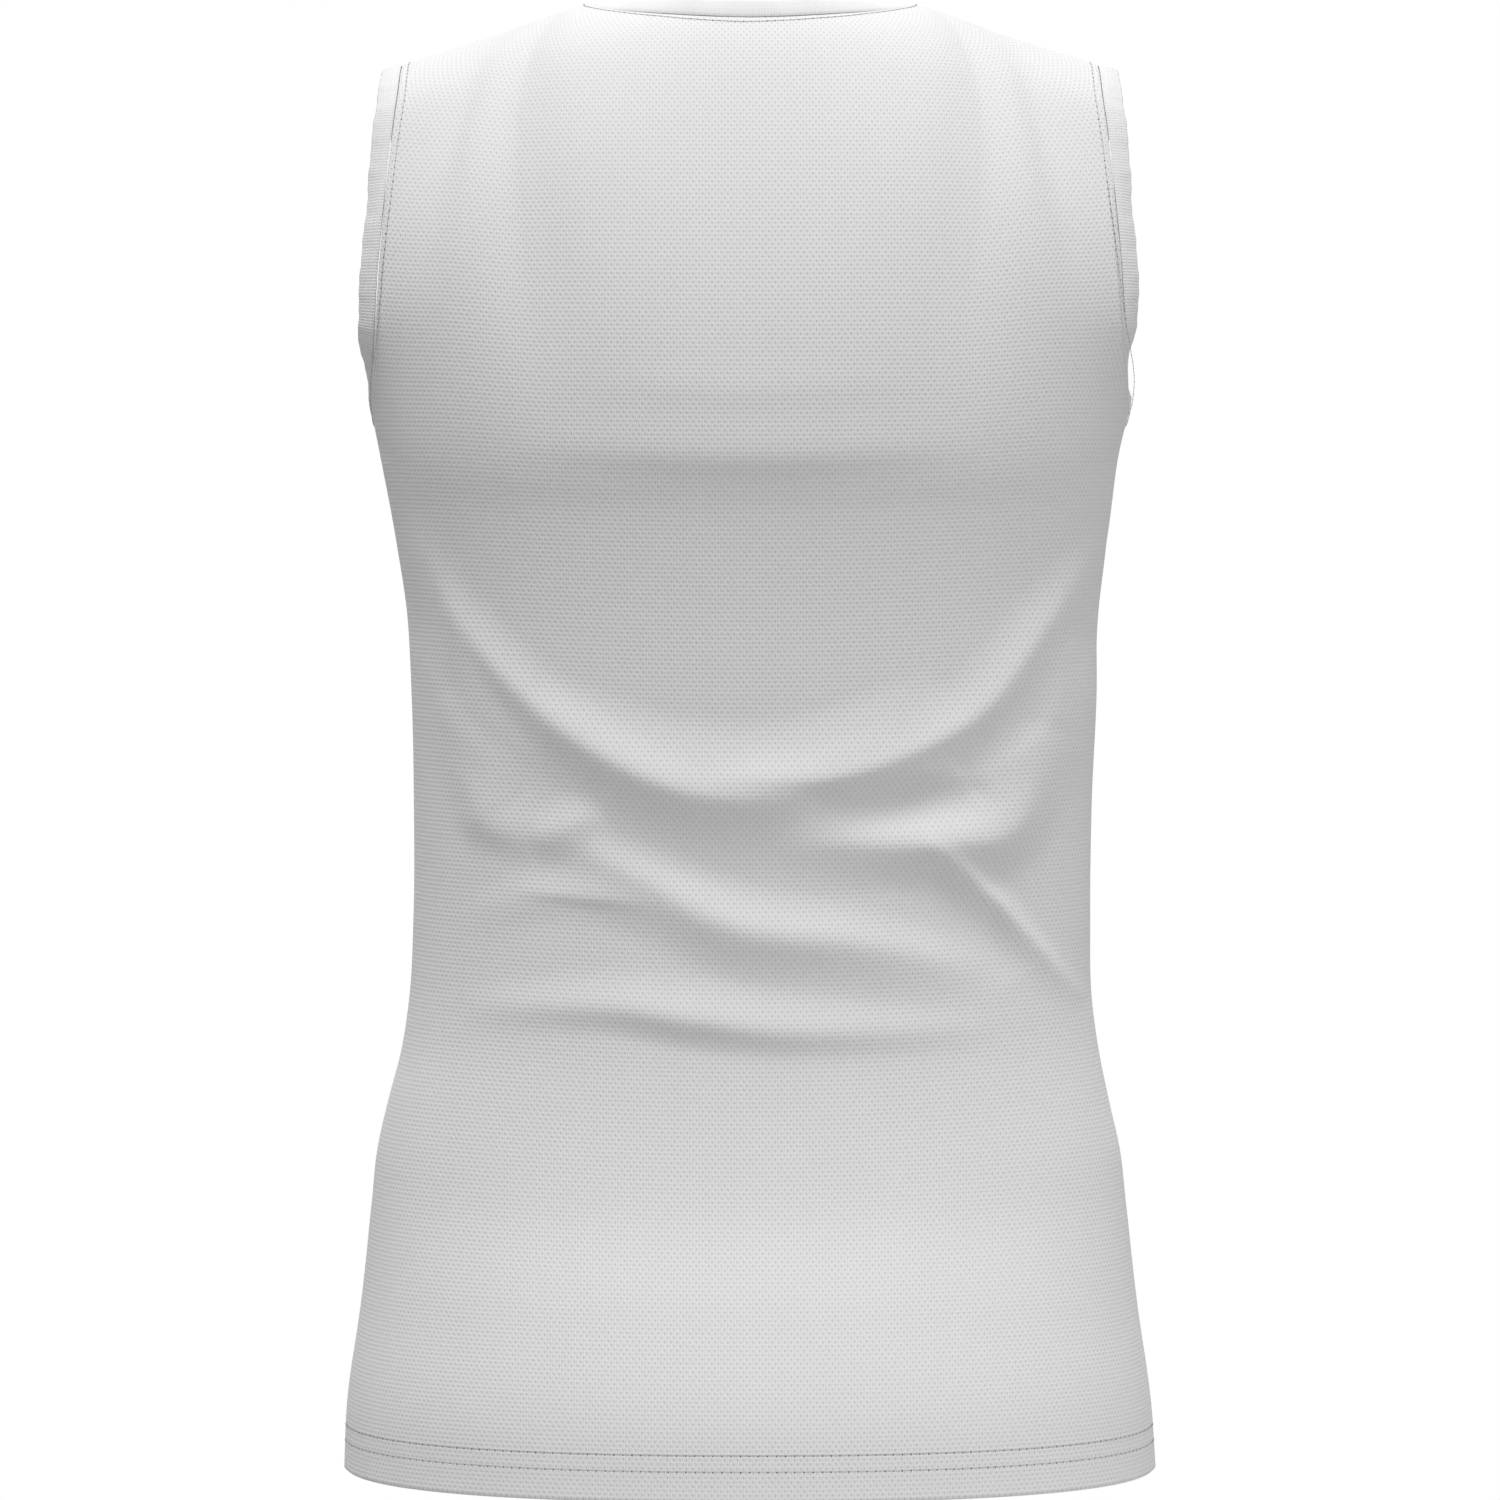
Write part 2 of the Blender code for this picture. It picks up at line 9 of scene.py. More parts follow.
import logging
import math
from dataclasses import dataclass, field
from enum import Enum
from typing import NamedTuple

import bpy
import numpy as np
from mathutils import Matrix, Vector


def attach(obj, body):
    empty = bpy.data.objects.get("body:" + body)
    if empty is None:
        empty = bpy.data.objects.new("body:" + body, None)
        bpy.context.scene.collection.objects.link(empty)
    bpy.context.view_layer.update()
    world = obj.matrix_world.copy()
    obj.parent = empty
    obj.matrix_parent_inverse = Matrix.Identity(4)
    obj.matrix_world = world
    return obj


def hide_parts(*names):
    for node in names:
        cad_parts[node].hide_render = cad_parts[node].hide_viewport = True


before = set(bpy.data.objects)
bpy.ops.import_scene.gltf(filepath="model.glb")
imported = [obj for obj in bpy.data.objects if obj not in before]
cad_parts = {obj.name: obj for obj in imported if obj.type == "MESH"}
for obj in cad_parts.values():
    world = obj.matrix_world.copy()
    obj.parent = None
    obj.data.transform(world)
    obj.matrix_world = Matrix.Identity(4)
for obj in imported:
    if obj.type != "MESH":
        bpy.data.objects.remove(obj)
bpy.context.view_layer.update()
LOG = logging.getLogger("singlet")

BODY = "root"
PANEL_SLOT = "mesh_knit"
BINDING_SLOT = "binding_knit"

EDGE_LAYER = "from_edge"  # distance of the cloth from its nearest bound edge
HOLE_SHADE_LAYER = "painted_needle_hole_shade"  # 1 where a stitch mesh is the dark lump painted as the shade of the hole that its thread goes into
NORMAL_LAYER = "surface_normal"
UV_LAYER = "cloth"
FAR_FROM_EDGE = 0.05
HEM_ROWS = (0.0190, 0.0124)  # how far the two rows of hem stitches lie above the hem
EDGE_ROW = 0.0034  # how far the row beside a binding lies from its seam
SHARP_ANGLE = 60.0  # degrees between two faces above which their edge is sharp

# Sine waves round a closed seam, each as (how many, height, phase).
SEWN_WAVES = ((9, 1.0, 0.7), (23, 0.6, 2.1), (41, 0.4, 0.0))
BINDING_WAVES = ((17, 1.0, 0.0), (29, 0.7, 1.3), (53, 0.5, 0.4))


# ---------------------------------------------------------------- curves


def smoothstep(value: np.ndarray) -> np.ndarray:
    """0 below 0, 1 above 1, and an even ease between."""
    value = np.clip(value, 0.0, 1.0)
    return value * value * (3 - 2 * value)


def hermite(
    share: np.ndarray, start: np.ndarray, end: np.ndarray, start_slope: np.ndarray, end_slope: np.ndarray
) -> np.ndarray:
    """A cubic that leaves the start and arrives at the end along two slopes.

    Args:
        share: how far along, from 0 to 1.
        start: values at the start.
        end: values at the end.
        start_slope: change per unit of share at the start.
        end_slope: change per unit of share at the end.

    Returns:
        The values at those shares.
    """
    square = share * share
    cube = square * share
    return ((2 * cube - 3 * square + 1) * start + (cube - 2 * square + share) * start_slope
            + (3 * square - 2 * cube) * end + (cube - square) * end_slope)


def smooth_through(knots: np.ndarray, values: np.ndarray, at: np.ndarray) -> np.ndarray:
    """Reads a smooth curve that passes through its knots.

    Args:
        knots: rising positions of the knots.
        values: a value, or a row of them, at each knot.
        at: positions to read, held within the first and last knot.

    Returns:
        The values there.
    """
    knots = np.asarray(knots, float)
    values = np.asarray(values, float)
    at = np.clip(np.asarray(at, float), knots[0], knots[-1])
    slopes = np.gradient(values, knots, axis=0)
    first = np.clip(np.searchsorted(knots, at) - 1, 0, len(knots) - 2)
    span = knots[first + 1] - knots[first]
    share = (at - knots[first]) / span
    if values.ndim > 1:
        span = span[..., None]
        share = share[..., None]
    return hermite(share, values[first], values[first + 1],
                   slopes[first] * span, slopes[first + 1] * span)


def arc_lengths(points: np.ndarray) -> np.ndarray:
    """Measures the distance along polylines.

    Args:
        points: one or more polylines, whose last two axes are point and coordinate.

    Returns:
        A distance for each point.
    """
    steps = np.linalg.norm(np.diff(points, axis=-2), axis=-1)
    start = np.zeros(steps.shape[:-1] + (1,))
    return np.concatenate([start, np.cumsum(steps, axis=-1)], axis=-1)


def read_line(points: np.ndarray, lengths: np.ndarray, at: np.ndarray) -> np.ndarray:
    """Reads one polyline at distances along it.

    Args:
        points: its points.
        lengths: the distance along it of each point.
        at: distances to read.

    Returns:
        A point for each distance.
    """
    return np.column_stack([np.interp(at, lengths, axis) for axis in points.T])


def read_rings(rings: np.ndarray, lengths: np.ndarray, at: np.ndarray) -> np.ndarray:
    """Reads one point on each ring.

    Args:
        rings: a row of points for each ring.
        lengths: the distance along it of each of them.
        at: one distance for each ring.

    Returns:
        A point for each ring.
    """
    last = lengths.shape[1] - 2
    first = np.clip((lengths <= at[:, None]).sum(axis=1) - 1, 0, last)
    ring = np.arange(len(rings))
    before = lengths[ring, first]
    share = ((at - before) / (lengths[ring, first + 1] - before))[:, None]
    return rings[ring, first] * (1 - share) + rings[ring, first + 1] * share


def unit(vectors: np.ndarray) -> np.ndarray:
    """The same vectors, each one long."""
    return vectors / np.linalg.norm(vectors, axis=-1, keepdims=True)


def waver(count: int, waves: tuple) -> np.ndarray:
    """Adds up sine waves round a closed run.

    Args:
        count: how many points it has.
        waves: how many, height and phase of each wave.

    Returns:
        A value for each point.
    """
    turn = np.linspace(0, 2 * math.pi, count, endpoint=False)
    return sum(height * np.sin(number * turn + phase) for number, height, phase in waves)


# ---------------------------------------------------------------- the filled-out form


class Side(Enum):
    """Which of the two panels."""

    BACK = "back"
    FRONT = "front"


class Section(NamedTuple):
    """One level section through the body of the singlet."""

    height: float
    half_width: float
    shift: float  # how much further the left side stands out than the right
    side_depth: float  # y of the widest line
    back_depth: float  # y of the middle of the back
    front_depth: float  # y of the middle of the front
    fullness: float  # 0.55 is an ellipse, and more is squarer
    seam_back: float  # how far behind the widest line the side seam runs


SECTIONS = (
    Section(-0.609, 0.1728, 0.0000, -0.004, 0.1180, -0.1060, 0.60, 0.020),
    Section(-0.579, 0.1711, 0.0004, -0.004, 0.1155, -0.1075, 0.60, 0.016),
    Section(-0.536, 0.1651, 0.0004, -0.004, 0.1025, -0.1075, 0.60, 0.006),
    Section(-0.494, 0.1605, 0.0005, -0.003, 0.0865, -0.1050, 0.60, 0.001),
    Section(-0.472, 0.1581, 0.0006, -0.003, 0.0815, -0.1030, 0.60, 0.000),
    Section(-0.451, 0.1534, 0.0006, -0.002, 0.0780, -0.1010, 0.60, 0.000),
    Section(-0.430, 0.1485, 0.0000, -0.002, 0.0760, -0.0990, 0.60, 0.000),
    Section(-0.408, 0.1453, -0.0002, -0.002, 0.0760, -0.0975, 0.60, 0.000),
    Section(-0.372, 0.1440, -0.0008, -0.002, 0.0770, -0.0965, 0.60, 0.000),
    Section(-0.323, 0.1442, -0.0012, -0.001, 0.0805, -0.1005, 0.60, 0.000),
    Section(-0.281, 0.1453, -0.0015, 0.000, 0.0850, -0.1080, 0.61, 0.000),
    Section(-0.238, 0.1474, -0.0010, 0.000, 0.0900, -0.1150, 0.62, 0.000),
    Section(-0.204, 0.1525, -0.0005, 0.000, 0.0955, -0.1175, 0.63, 0.000),
    Section(-0.174, 0.1575, 0.0003, 0.000, 0.1025, -0.1160, 0.63, 0.000),
    Section(-0.161, 0.1603, 0.0000, 0.000, 0.1020, -0.1140, 0.63, 0.000),
    Section(-0.130, 0.1640, 0.0000, 0.000, 0.0985, -0.1080, 0.63, 0.000),
)


class ArmholePoint(NamedTuple):
    """A point of the left armhole's seam; the right armhole is its mirror."""

    out: float
    depth: float
    height: float


SHOULDER_TIP = ArmholePoint(0.1480, -0.0060, -0.0100)
UNDERARM = ArmholePoint(0.1603, 0.0000, -0.1610)
ARMHOLES = {
    Side.BACK: (
        UNDERARM,
        ArmholePoint(0.1594, 0.0270, -0.1520),
        ArmholePoint(0.1576, 0.0440, -0.1290),
        ArmholePoint(0.1553, 0.0470, -0.0950),
        ArmholePoint(0.1521, 0.0390, -0.0580),
        ArmholePoint(0.1490, 0.0240, -0.0270),
        SHOULDER_TIP,
    ),
    Side.FRONT: (
        UNDERARM,
        ArmholePoint(0.1582, -0.0260, -0.1520),
        ArmholePoint(0.1535, -0.0470, -0.1310),
        ArmholePoint(0.1480, -0.0570, -0.0980),
        ArmholePoint(0.1455, -0.0510, -0.0620),
        ArmholePoint(0.1465, -0.0330, -0.0280),
        SHOULDER_TIP,
    ),
}


@dataclass(frozen=True)
class Fall:
    """How one panel falls from its top edge: angles above level, and how far they carry."""

    neck_rise: float
    shoulder_rise: float
    neck_reach: float
    shoulder_reach: float
    underarm_fade: float  # how much closer the armhole's pull keeps to its edge near the underarm


FALLS = {
    Side.BACK: Fall(40.0, 5.0, 0.122, 0.177, 10.0),
    Side.FRONT: Fall(62.0, 6.0, 0.080, 0.100, 2.0),
}


@dataclass(frozen=True)
class Form:
    """The shape that the cloth follows: level sections, and above the underarms a yoke."""

    hem_height: float = -0.6090
    hem_lift: float = 0.0022  # how much higher the hem runs at the side seams
    hem_lift_reach: float = 0.10
    neck_point: tuple = (0.0675, -0.0060, 0.0154)  # where neckline and shoulder seam meet
    back_neck: tuple = (0.0, 0.0540, 0.0040)
    front_neck: tuple = (0.0, -0.0880, -0.0715)
    back_neck_dip: float = 0.8
    front_neck_dip: float = 1.1
    front_neck_reach: float = 0.85
    sag: float = 0.035  # how much lower the row from the underarm runs at the middle
    sag_start: float = -0.400  # below this height the rows are level
    sag_power: float = 4.0
    edge_fade: float = 1.6  # how quickly the armhole's pull fades towards the middle
    underarm_fade_power: int = 4
    neck_point_turn: float = 60.0
    neck_point_ease: float = 0.67  # the share of the shoulder seam over which that turn fades
    corner_start: float = 0.45
    relax_width: float = 0.10  # how much of the top line its rounded corner takes
    ring_samples: int = 49
    yoke_samples: int = 160
    armhole_samples: int = 400
    height_step: float = 0.004

    def row_heights(self, edge_height: float, shares: np.ndarray) -> np.ndarray:
        """Works out the heights along one row.

        Args:
            edge_height: where the row meets the side seam.
            shares: 0 at the middle of the panel and 1 at the side seam.

        Returns:
            A height for each share.
        """
        ease = smoothstep((edge_height - self.sag_start) / (UNDERARM.height - self.sag_start))
        lift = self.hem_lift * (1 - smoothstep((edge_height - self.hem_height) / self.hem_lift_reach))
        power = shares**self.sag_power
        return edge_height - self.sag * ease * (1 - power) + lift * power

    def body(self, heights: np.ndarray, shares: np.ndarray, hand: float, side: Side) -> np.ndarray:
        """Reads the body wall below the armholes.

        Args:
            heights: heights to read.
            shares: 0 at the middle of the panel and 1 at its side seam, one for each height.
            hand: 1 for the wearer's left half, -1 for the right.
            side: which panel.

        Returns:
            A point for each height.
        """
        section = Section(*smooth_through([s.height for s in SECTIONS], SECTIONS, heights).T)
        out = hand * (section.half_width + hand * section.shift)
        flat = np.zeros_like(out)
        edge = np.stack([out, section.side_depth], axis=1)
        quarters = []
        for depth in (section.back_depth, section.front_depth):
            middle = np.stack([flat, depth], axis=1)
            middle_handle = middle + np.stack([section.fullness * out, flat], axis=1)
            side_handle = edge + np.stack([flat, section.fullness * (depth - section.side_depth)], axis=1)
            quarters.append(self.quarter(middle, middle_handle, side_handle, edge))
        ring = np.concatenate([quarters[0], quarters[1][:, -2::-1]], axis=1)
        lengths = arc_lengths(ring)
        seam = lengths[:, self.ring_samples - 1] - section.seam_back
        at = shares * seam
        if side is Side.FRONT:
            at = lengths[:, -1] - shares * (lengths[:, -1] - seam)
        return np.column_stack([read_rings(ring, lengths, at), heights])

    def quarter(
        self, middle: np.ndarray, middle_handle: np.ndarray, side_handle: np.ndarray, edge: np.ndarray
    ) -> np.ndarray:
        """Draws quarter sections as cubic Beziers.

        Args:
            middle: where each starts, on the middle of the panel.
            middle_handle: its first handle.
            side_handle: its second handle.
            edge: where it ends, on the widest line.

        Returns:
            A row of points for each section.
        """
        share = np.linspace(0.0, 1.0, self.ring_samples)[None, :, None]
        rest = 1 - share
        return (rest**3 * middle[:, None] + 3 * rest**2 * share * middle_handle[:, None]
                + 3 * rest * share**2 * side_handle[:, None] + share**3 * edge[:, None])

    def armhole(self, shares: np.ndarray, hand: float, side: Side) -> np.ndarray:
        """Reads an armhole's seam.

        Args:
            shares: 0 at the underarm and 1 at the shoulder tip.
            hand: 1 for the left armhole, -1 for the right.
            side: which panel's half of it.

        Returns:
            A point for each share, evenly spaced for even shares.
        """
        own = ARMHOLES[side]
        other = ARMHOLES[Side.FRONT if side is Side.BACK else Side.BACK]
        loop = np.array(other[2:0:-1] + own + other[-2:-4:-1])
        knots = arc_lengths(loop)
        dense = smooth_through(knots, loop, np.linspace(knots[2], knots[-3], self.armhole_samples))
        lengths = arc_lengths(dense)
        edge = read_line(dense, lengths, shares * lengths[-1])
        edge[:, 0] *= hand
        return edge

    def top_line(self, shares: np.ndarray, neck_share: float, hand: float, side: Side) -> np.ndarray:
        """Reads the top edge of a panel.

        Args:
            shares: 0 at the middle of the neckline and 1 at the shoulder tip.
            neck_share: the share at the neck point.
            hand: 1 for the left half, -1 for the right.
            side: which panel.

        Returns:
            A point for each share.
        """
        neck = np.array(self.neck_point)
        tip = np.array(SHOULDER_TIP)
        middle = np.array(self.front_neck if side is Side.FRONT else self.back_neck)
        turn = np.clip(shares / neck_share, 0, 1) * math.pi / 2
        forward = np.cos(turn).clip(0)
        drop = (1 - forward) ** self.back_neck_dip
        if side is Side.FRONT:
            drop = 1 - forward**self.front_neck_dip
            forward = forward**self.front_neck_reach
        line = np.column_stack([
            neck[0] * np.sin(turn),
            neck[1] + (middle[1] - neck[1]) * forward,
            middle[2] + (neck[2] - middle[2]) * drop,
        ])
        along = np.clip((shares - neck_share) / (1 - neck_share), 0, 1)[:, None]
        line = np.where(along > 0, neck + (tip - neck) * along, line)
        line[:, 0] *= hand
        return line

    def relaxed(self, line: np.ndarray) -> np.ndarray:
        """Rounds off the corner of a top line at the neck point, and keeps it even about the middle.

        Args:
            line: the top line from the middle out.

        Returns:
            The rounded line.
        """
        mirrored = line[:0:-1] * (-1, 1, 1)
        whole = np.concatenate([mirrored, line])
        reach = int(self.relax_width * len(line))
        window = np.hanning(2 * reach + 3)
        padded = np.pad(whole, ((reach + 1, reach + 1), (0, 0)), mode="reflect", reflect_type="odd")
        smooth = [np.convolve(axis, window / window.sum(), mode="valid") for axis in padded.T]
        rounded = np.column_stack(smooth)[len(line) - 1:]
        rounded[-1] = line[-1]
        return rounded

    def top_slopes(self, shares: np.ndarray, neck_share: float, hand: float, side: Side) -> np.ndarray:
        """Works out how the cloth arrives at the top edge, square to neckline and shoulder seam.

        Args:
            shares: 0 at the middle of the neckline and 1 at the shoulder tip.
            neck_share: the share at the neck point.
            hand: 1 for the left half, -1 for the right.
            side: which panel.

        Returns:
            A slope for each share.
        """
        fall = FALLS[side]
        ease = smoothstep(shares / neck_share)
        angle = np.radians(fall.neck_rise + (fall.shoulder_rise - fall.neck_rise) * ease)
        reach = fall.neck_reach + (fall.shoulder_reach - fall.neck_reach) * ease
        past_neck = (shares - neck_share) / (1 - neck_share)
        past_turn = 1 - smoothstep(past_neck / self.neck_point_ease)
        turned = np.where(past_neck < 0, shares / neck_share, past_turn)
        turn = np.radians(self.neck_point_turn * turned)
        forward = 1.0 if side is Side.FRONT else -1.0
        return reach[:, None] * np.column_stack([
            -hand * np.sin(turn) * np.cos(angle),
            forward * np.cos(angle),
            np.sin(angle),
        ])

    def yoke(
        self, rises: np.ndarray, neck_columns: int, shoulder_shares: np.ndarray, hand: float, side: Side
    ) -> np.ndarray:
        """Builds half rows from the underarm up to the top edge.

        Args:
            rises: 0 at the underarm and 1 at the top edge, one for each row.
            neck_columns: how many columns end on this half of the neckline.
            shoulder_shares: from 0 to 1, the columns that end on the shoulder seam.
            hand: 1 for the left half, -1 for the right.
            side: which panel.

        Returns:
            An array of rows, each from the middle out.
        """
        neck_share = neck_columns / (neck_columns + len(shoulder_shares))
        shares = np.sort(np.append(np.linspace(0, 1, self.yoke_samples), neck_share))
        neck_index = int(np.searchsorted(shares, neck_share))
        heights = self.row_heights(UNDERARM.height, shares)
        base = self.body(heights, shares, hand, side)
        raised = self.body(heights + self.height_step, shares, hand, side)
        lowered = self.body(heights - self.height_step, shares, hand, side)
        top = self.top_line(shares, neck_share, hand, side)
        low_top = self.relaxed(top)
        base_slopes = (raised - lowered) / (2 * self.height_step) * (top[:, 2] - base[:, 2])[:, None]
        slopes = self.top_slopes(shares, neck_share, hand, side)
        rows = []
        for rise, edge_point in zip(rises, self.armhole(rises, hand, side)):
            corner = np.clip((rise - self.corner_start) / (1 - self.corner_start), 0, 1) ** 2
            row = hermite(rise, base, low_top + corner * (top - low_top), base_slopes, slopes)
            power = self.edge_fade + FALLS[side].underarm_fade * (1 - rise) ** self.underarm_fade_power
            row = row + (shares**power)[:, None] * (edge_point - row[-1])
            lengths = arc_lengths(row)
            neck_at = lengths[neck_index]
            out_at = neck_at + shoulder_shares * (lengths[-1] - neck_at)
            at = np.concatenate([np.linspace(0, neck_at, neck_columns + 1), out_at])
            rows.append(read_line(row, lengths, at))
        return np.array(rows)


FORM = Form()


# ---------------------------------------------------------------- folds


class Fold(NamedTuple):
    """A soft ridge across a panel, with a gentle flank above its crest and a steep one below."""

    name: str
    rise: float
    above: float  # length of the upper flank
    below: float  # length of the lower flank
    crest_radius: float  # small for a sharp crest
    crest: tuple  # (across, height) points; across is positive on the wearer's left


FOLDS = {
    Side.BACK: (
        Fold("drape_left", 0.0036, 0.018, 0.022, 0.0028,
             ((0.144, -0.205), (0.118, -0.252), (0.080, -0.291), (0.030, -0.318), (-0.027, -0.324))),
        Fold("drape_right", 0.0045, 0.020, 0.024, 0.0026,
             ((-0.147, -0.212), (-0.122, -0.250), (-0.090, -0.290), (-0.035, -0.313), (0.020, -0.313))),
        Fold("drape_middle", 0.0057, 0.030, 0.040, 0.0140,
             ((0.091, -0.280), (0.034, -0.313), (-0.019, -0.314), (-0.084, -0.279))),
        Fold("waist_right", 0.0067, 0.042, 0.022, 0.0075,
             ((-0.123, -0.292), (-0.106, -0.334), (-0.071, -0.340), (-0.006, -0.341))),
        Fold("waist_left", 0.0025, 0.028, 0.015, 0.0064,
             ((0.129, -0.278), (0.114, -0.319), (0.105, -0.334), (0.059, -0.342))),
        Fold("slant", 0.0048, 0.022, 0.024, 0.0065,
             ((0.082, -0.337), (0.045, -0.357), (0.006, -0.376), (-0.044, -0.383), (-0.098, -0.395))),
        Fold("low_left", 0.0010, 0.015, 0.014, 0.0085,
             ((0.120, -0.371), (0.079, -0.362), (0.036, -0.371))),
        Fold("low_across", 0.0035, 0.021, 0.013, 0.0050,
             ((0.121, -0.409), (0.060, -0.409), (0.024, -0.414), (-0.022, -0.419), (-0.106, -0.418))),
        Fold("hip_right", 0.0042, 0.011, 0.015, 0.0015,
             ((-0.070, -0.338), (-0.095, -0.359), (-0.110, -0.375), (-0.141, -0.408))),
        Fold("flank_left_1", 0.0007, 0.010, 0.010, 0.0063,
             ((0.125, -0.231), (0.116, -0.277), (0.081, -0.314))),
        Fold("flank_left_2", 0.0010, 0.021, 0.013, 0.0140,
             ((0.138, -0.251), (0.120, -0.289), (0.094, -0.316))),
        Fold("flank_right_1", 0.0019, 0.018, 0.040, 0.0025,
             ((-0.136, -0.254), (-0.122, -0.294), (-0.088, -0.319))),
        Fold("hollow_right", -0.0038, 0.016, 0.018, 0.0120,
             ((-0.101, -0.320), (-0.080, -0.324), (-0.052, -0.325), (-0.017, -0.323))),
        Fold("knot", 0.0022, 0.016, 0.014, 0.0040,
             ((0.090, -0.342), (0.074, -0.333), (0.060, -0.331))),
        Fold("step_left", 0.0009, 0.012, 0.004, 0.0010,
             ((0.098, -0.361), (0.070, -0.3635), (0.040, -0.3665))),
        Fold("valley_right", -0.0021, 0.015, 0.027, 0.0140,
             ((-0.068, -0.344), (-0.081, -0.363), (-0.103, -0.379), (-0.115, -0.396))),
        Fold("shoulder_band", 0.0014, 0.030, 0.012, 0.0040,
             ((0.100, -0.176), (0.030, -0.181), (-0.030, -0.181), (-0.098, -0.176))),
        Fold("shoulder_band_high", 0.0006, 0.020, 0.010, 0.0030,
             ((0.070, -0.152), (0.000, -0.155), (-0.065, -0.152))),
    ),
    Side.FRONT: (
        Fold("drape_left", 0.0050, 0.036, 0.019, 0.0030,
             ((0.137, -0.252), (0.106, -0.308), (0.066, -0.340), (0.012, -0.352))),
        Fold("drape_right", 0.0052, 0.036, 0.018, 0.0025,
             ((-0.138, -0.244), (-0.110, -0.298), (-0.072, -0.331), (-0.020, -0.345))),
        Fold("waist", 0.0038, 0.032, 0.018, 0.0040, ((0.108, -0.381), (0.040, -0.388), (-0.112, -0.378))),
        Fold("hip_left", 0.0028, 0.026, 0.016, 0.0030, ((0.138, -0.402), (0.100, -0.422), (0.034, -0.430))),
        Fold("waist_small", 0.0020, 0.014, 0.010, 0.0015,
             ((-0.118, -0.352), (-0.086, -0.362), (-0.048, -0.361))),
        Fold("flank_right", 0.0014, 0.011, 0.008, 0.0015,
             ((-0.134, -0.278), (-0.121, -0.312), (-0.102, -0.338))),
        Fold("flank_left", 0.0013, 0.011, 0.008, 0.0015,
             ((0.135, -0.288), (0.121, -0.324), (0.104, -0.346))),
    ),
}


@dataclass(frozen=True)
class FoldPress:
    """Lifts the folds out of a smooth face."""

    samples: int = 320  # points along each crest
    end_power: float = 1.0  # below 1, a fold keeps its rise nearer to its ends
    narrowing: float = 0.5  # how much shorter the upper flank is at the ends

    def lift(self, fold: Fold, across: np.ndarray, height: np.ndarray) -> np.ndarray:
        """Works out how far one fold lifts the cloth, seen square on.

        Args:
            fold: the fold.
            across: the places' distance to the wearer's left.
            height: their height.

        Returns:
            A lift for each place.
        """
        share = np.linspace(0, 1, self.samples)
        crest = smooth_through(np.linspace(0, 1, len(fold.crest)), fold.crest, share)
        tangent = np.gradient(crest, axis=0)
        down = np.column_stack([tangent[:, 1], -tangent[:, 0]])
        down = unit(down * -np.sign(down[:, 1:2]))
        margin = max(fold.above, fold.below)
        low = crest.min(axis=0) - margin
        high = crest.max(axis=0) + margin
        near = (across > low[0]) & (across < high[0]) & (height > low[1]) & (height < high[1])
        places = np.stack([across[near], height[near]], axis=-1)
        nearest = np.argmin(np.linalg.norm(places[:, None] - crest, axis=-1), axis=-1)
        offset = ((places - crest[nearest]) * down[nearest]).sum(axis=-1)
        taper = np.sin(np.pi * share[nearest]).clip(0) ** self.end_power
        above = fold.above * (1 - self.narrowing * (1 - taper))
        flank = np.where(offset < 0, above, fold.below)
        radius = fold.crest_radius
        from_crest = (np.hypot(offset, radius) - radius) / (np.hypot(flank, radius) - radius)
        lifts = np.zeros_like(across)
        lifts[near] = fold.rise * taper * (1 - from_crest.clip(0, 1)) ** 2
        return lifts

    def press(self, side: Side, face: np.ndarray, normals: np.ndarray) -> np.ndarray:
        """Adds all the folds of one panel.

        Args:
            side: which panel.
            face: its smooth outer face.
            normals: its outward normals.

        Returns:
            The face with its folds. Its side seams stay where they are.
        """
        lift = sum(self.lift(fold, face[..., 0], face[..., 2]) for fold in FOLDS[side])
        lift[:, [0, -1]] = 0
        return face + lift[..., None] * normals


# ---------------------------------------------------------------- meshes


def new_piece(name: str, mesh: bpy.types.Mesh) -> bpy.types.Object:
    """Links a new object of a mesh into the scene.

    Args:
        name: the object's name.
        mesh: its mesh.

    Returns:
        The object.
    """
    piece = bpy.data.objects.new(name, mesh)
    bpy.context.scene.collection.objects.link(piece)
    return piece


def grid_mesh(name: str, points: np.ndarray, faces: np.ndarray, uv: np.ndarray) -> bpy.types.Mesh:
    """Makes a smooth mesh of quads with a UV map.

    Args:
        name: the mesh's name.
        points: its vertices.
        faces: four vertex numbers for each face.
        uv: a place on the cloth, in metres, for each corner of each face.

    Returns:
        The mesh.
    """
    mesh = bpy.data.meshes.new(name)
    mesh.from_pydata(points.tolist(), [], faces.tolist())
    layer = mesh.uv_layers.new(name=UV_LAYER)
    layer.data.foreach_set("uv", np.ascontiguousarray(uv, np.float32).ravel())
    mesh.shade_smooth()
    mesh.set_sharp_from_angle(angle=math.radians(SHARP_ANGLE))
    mesh.update()
    return mesh


def quads_between(lower: np.ndarray, upper: np.ndarray) -> np.ndarray:
    """Joins two equal runs of vertex numbers with a strip of quads."""
    return np.column_stack([lower[:-1], lower[1:], upper[1:], upper[:-1]])


def grid_normals(points: np.ndarray, side: Side) -> np.ndarray:
    """Works out the outward normals of a panel's grid.

    Args:
        points: rows from the hem up, each from the wearer's left to right.
        side: which panel.

    Returns:
        A unit normal for each point.
    """
    along_row = np.gradient(points, axis=1, edge_order=2)
    up_column = np.gradient(points, axis=0, edge_order=2)
    normals = unit(np.cross(along_row, up_column))
    return -normals if side is Side.FRONT else normals


# ---------------------------------------------------------------- panels


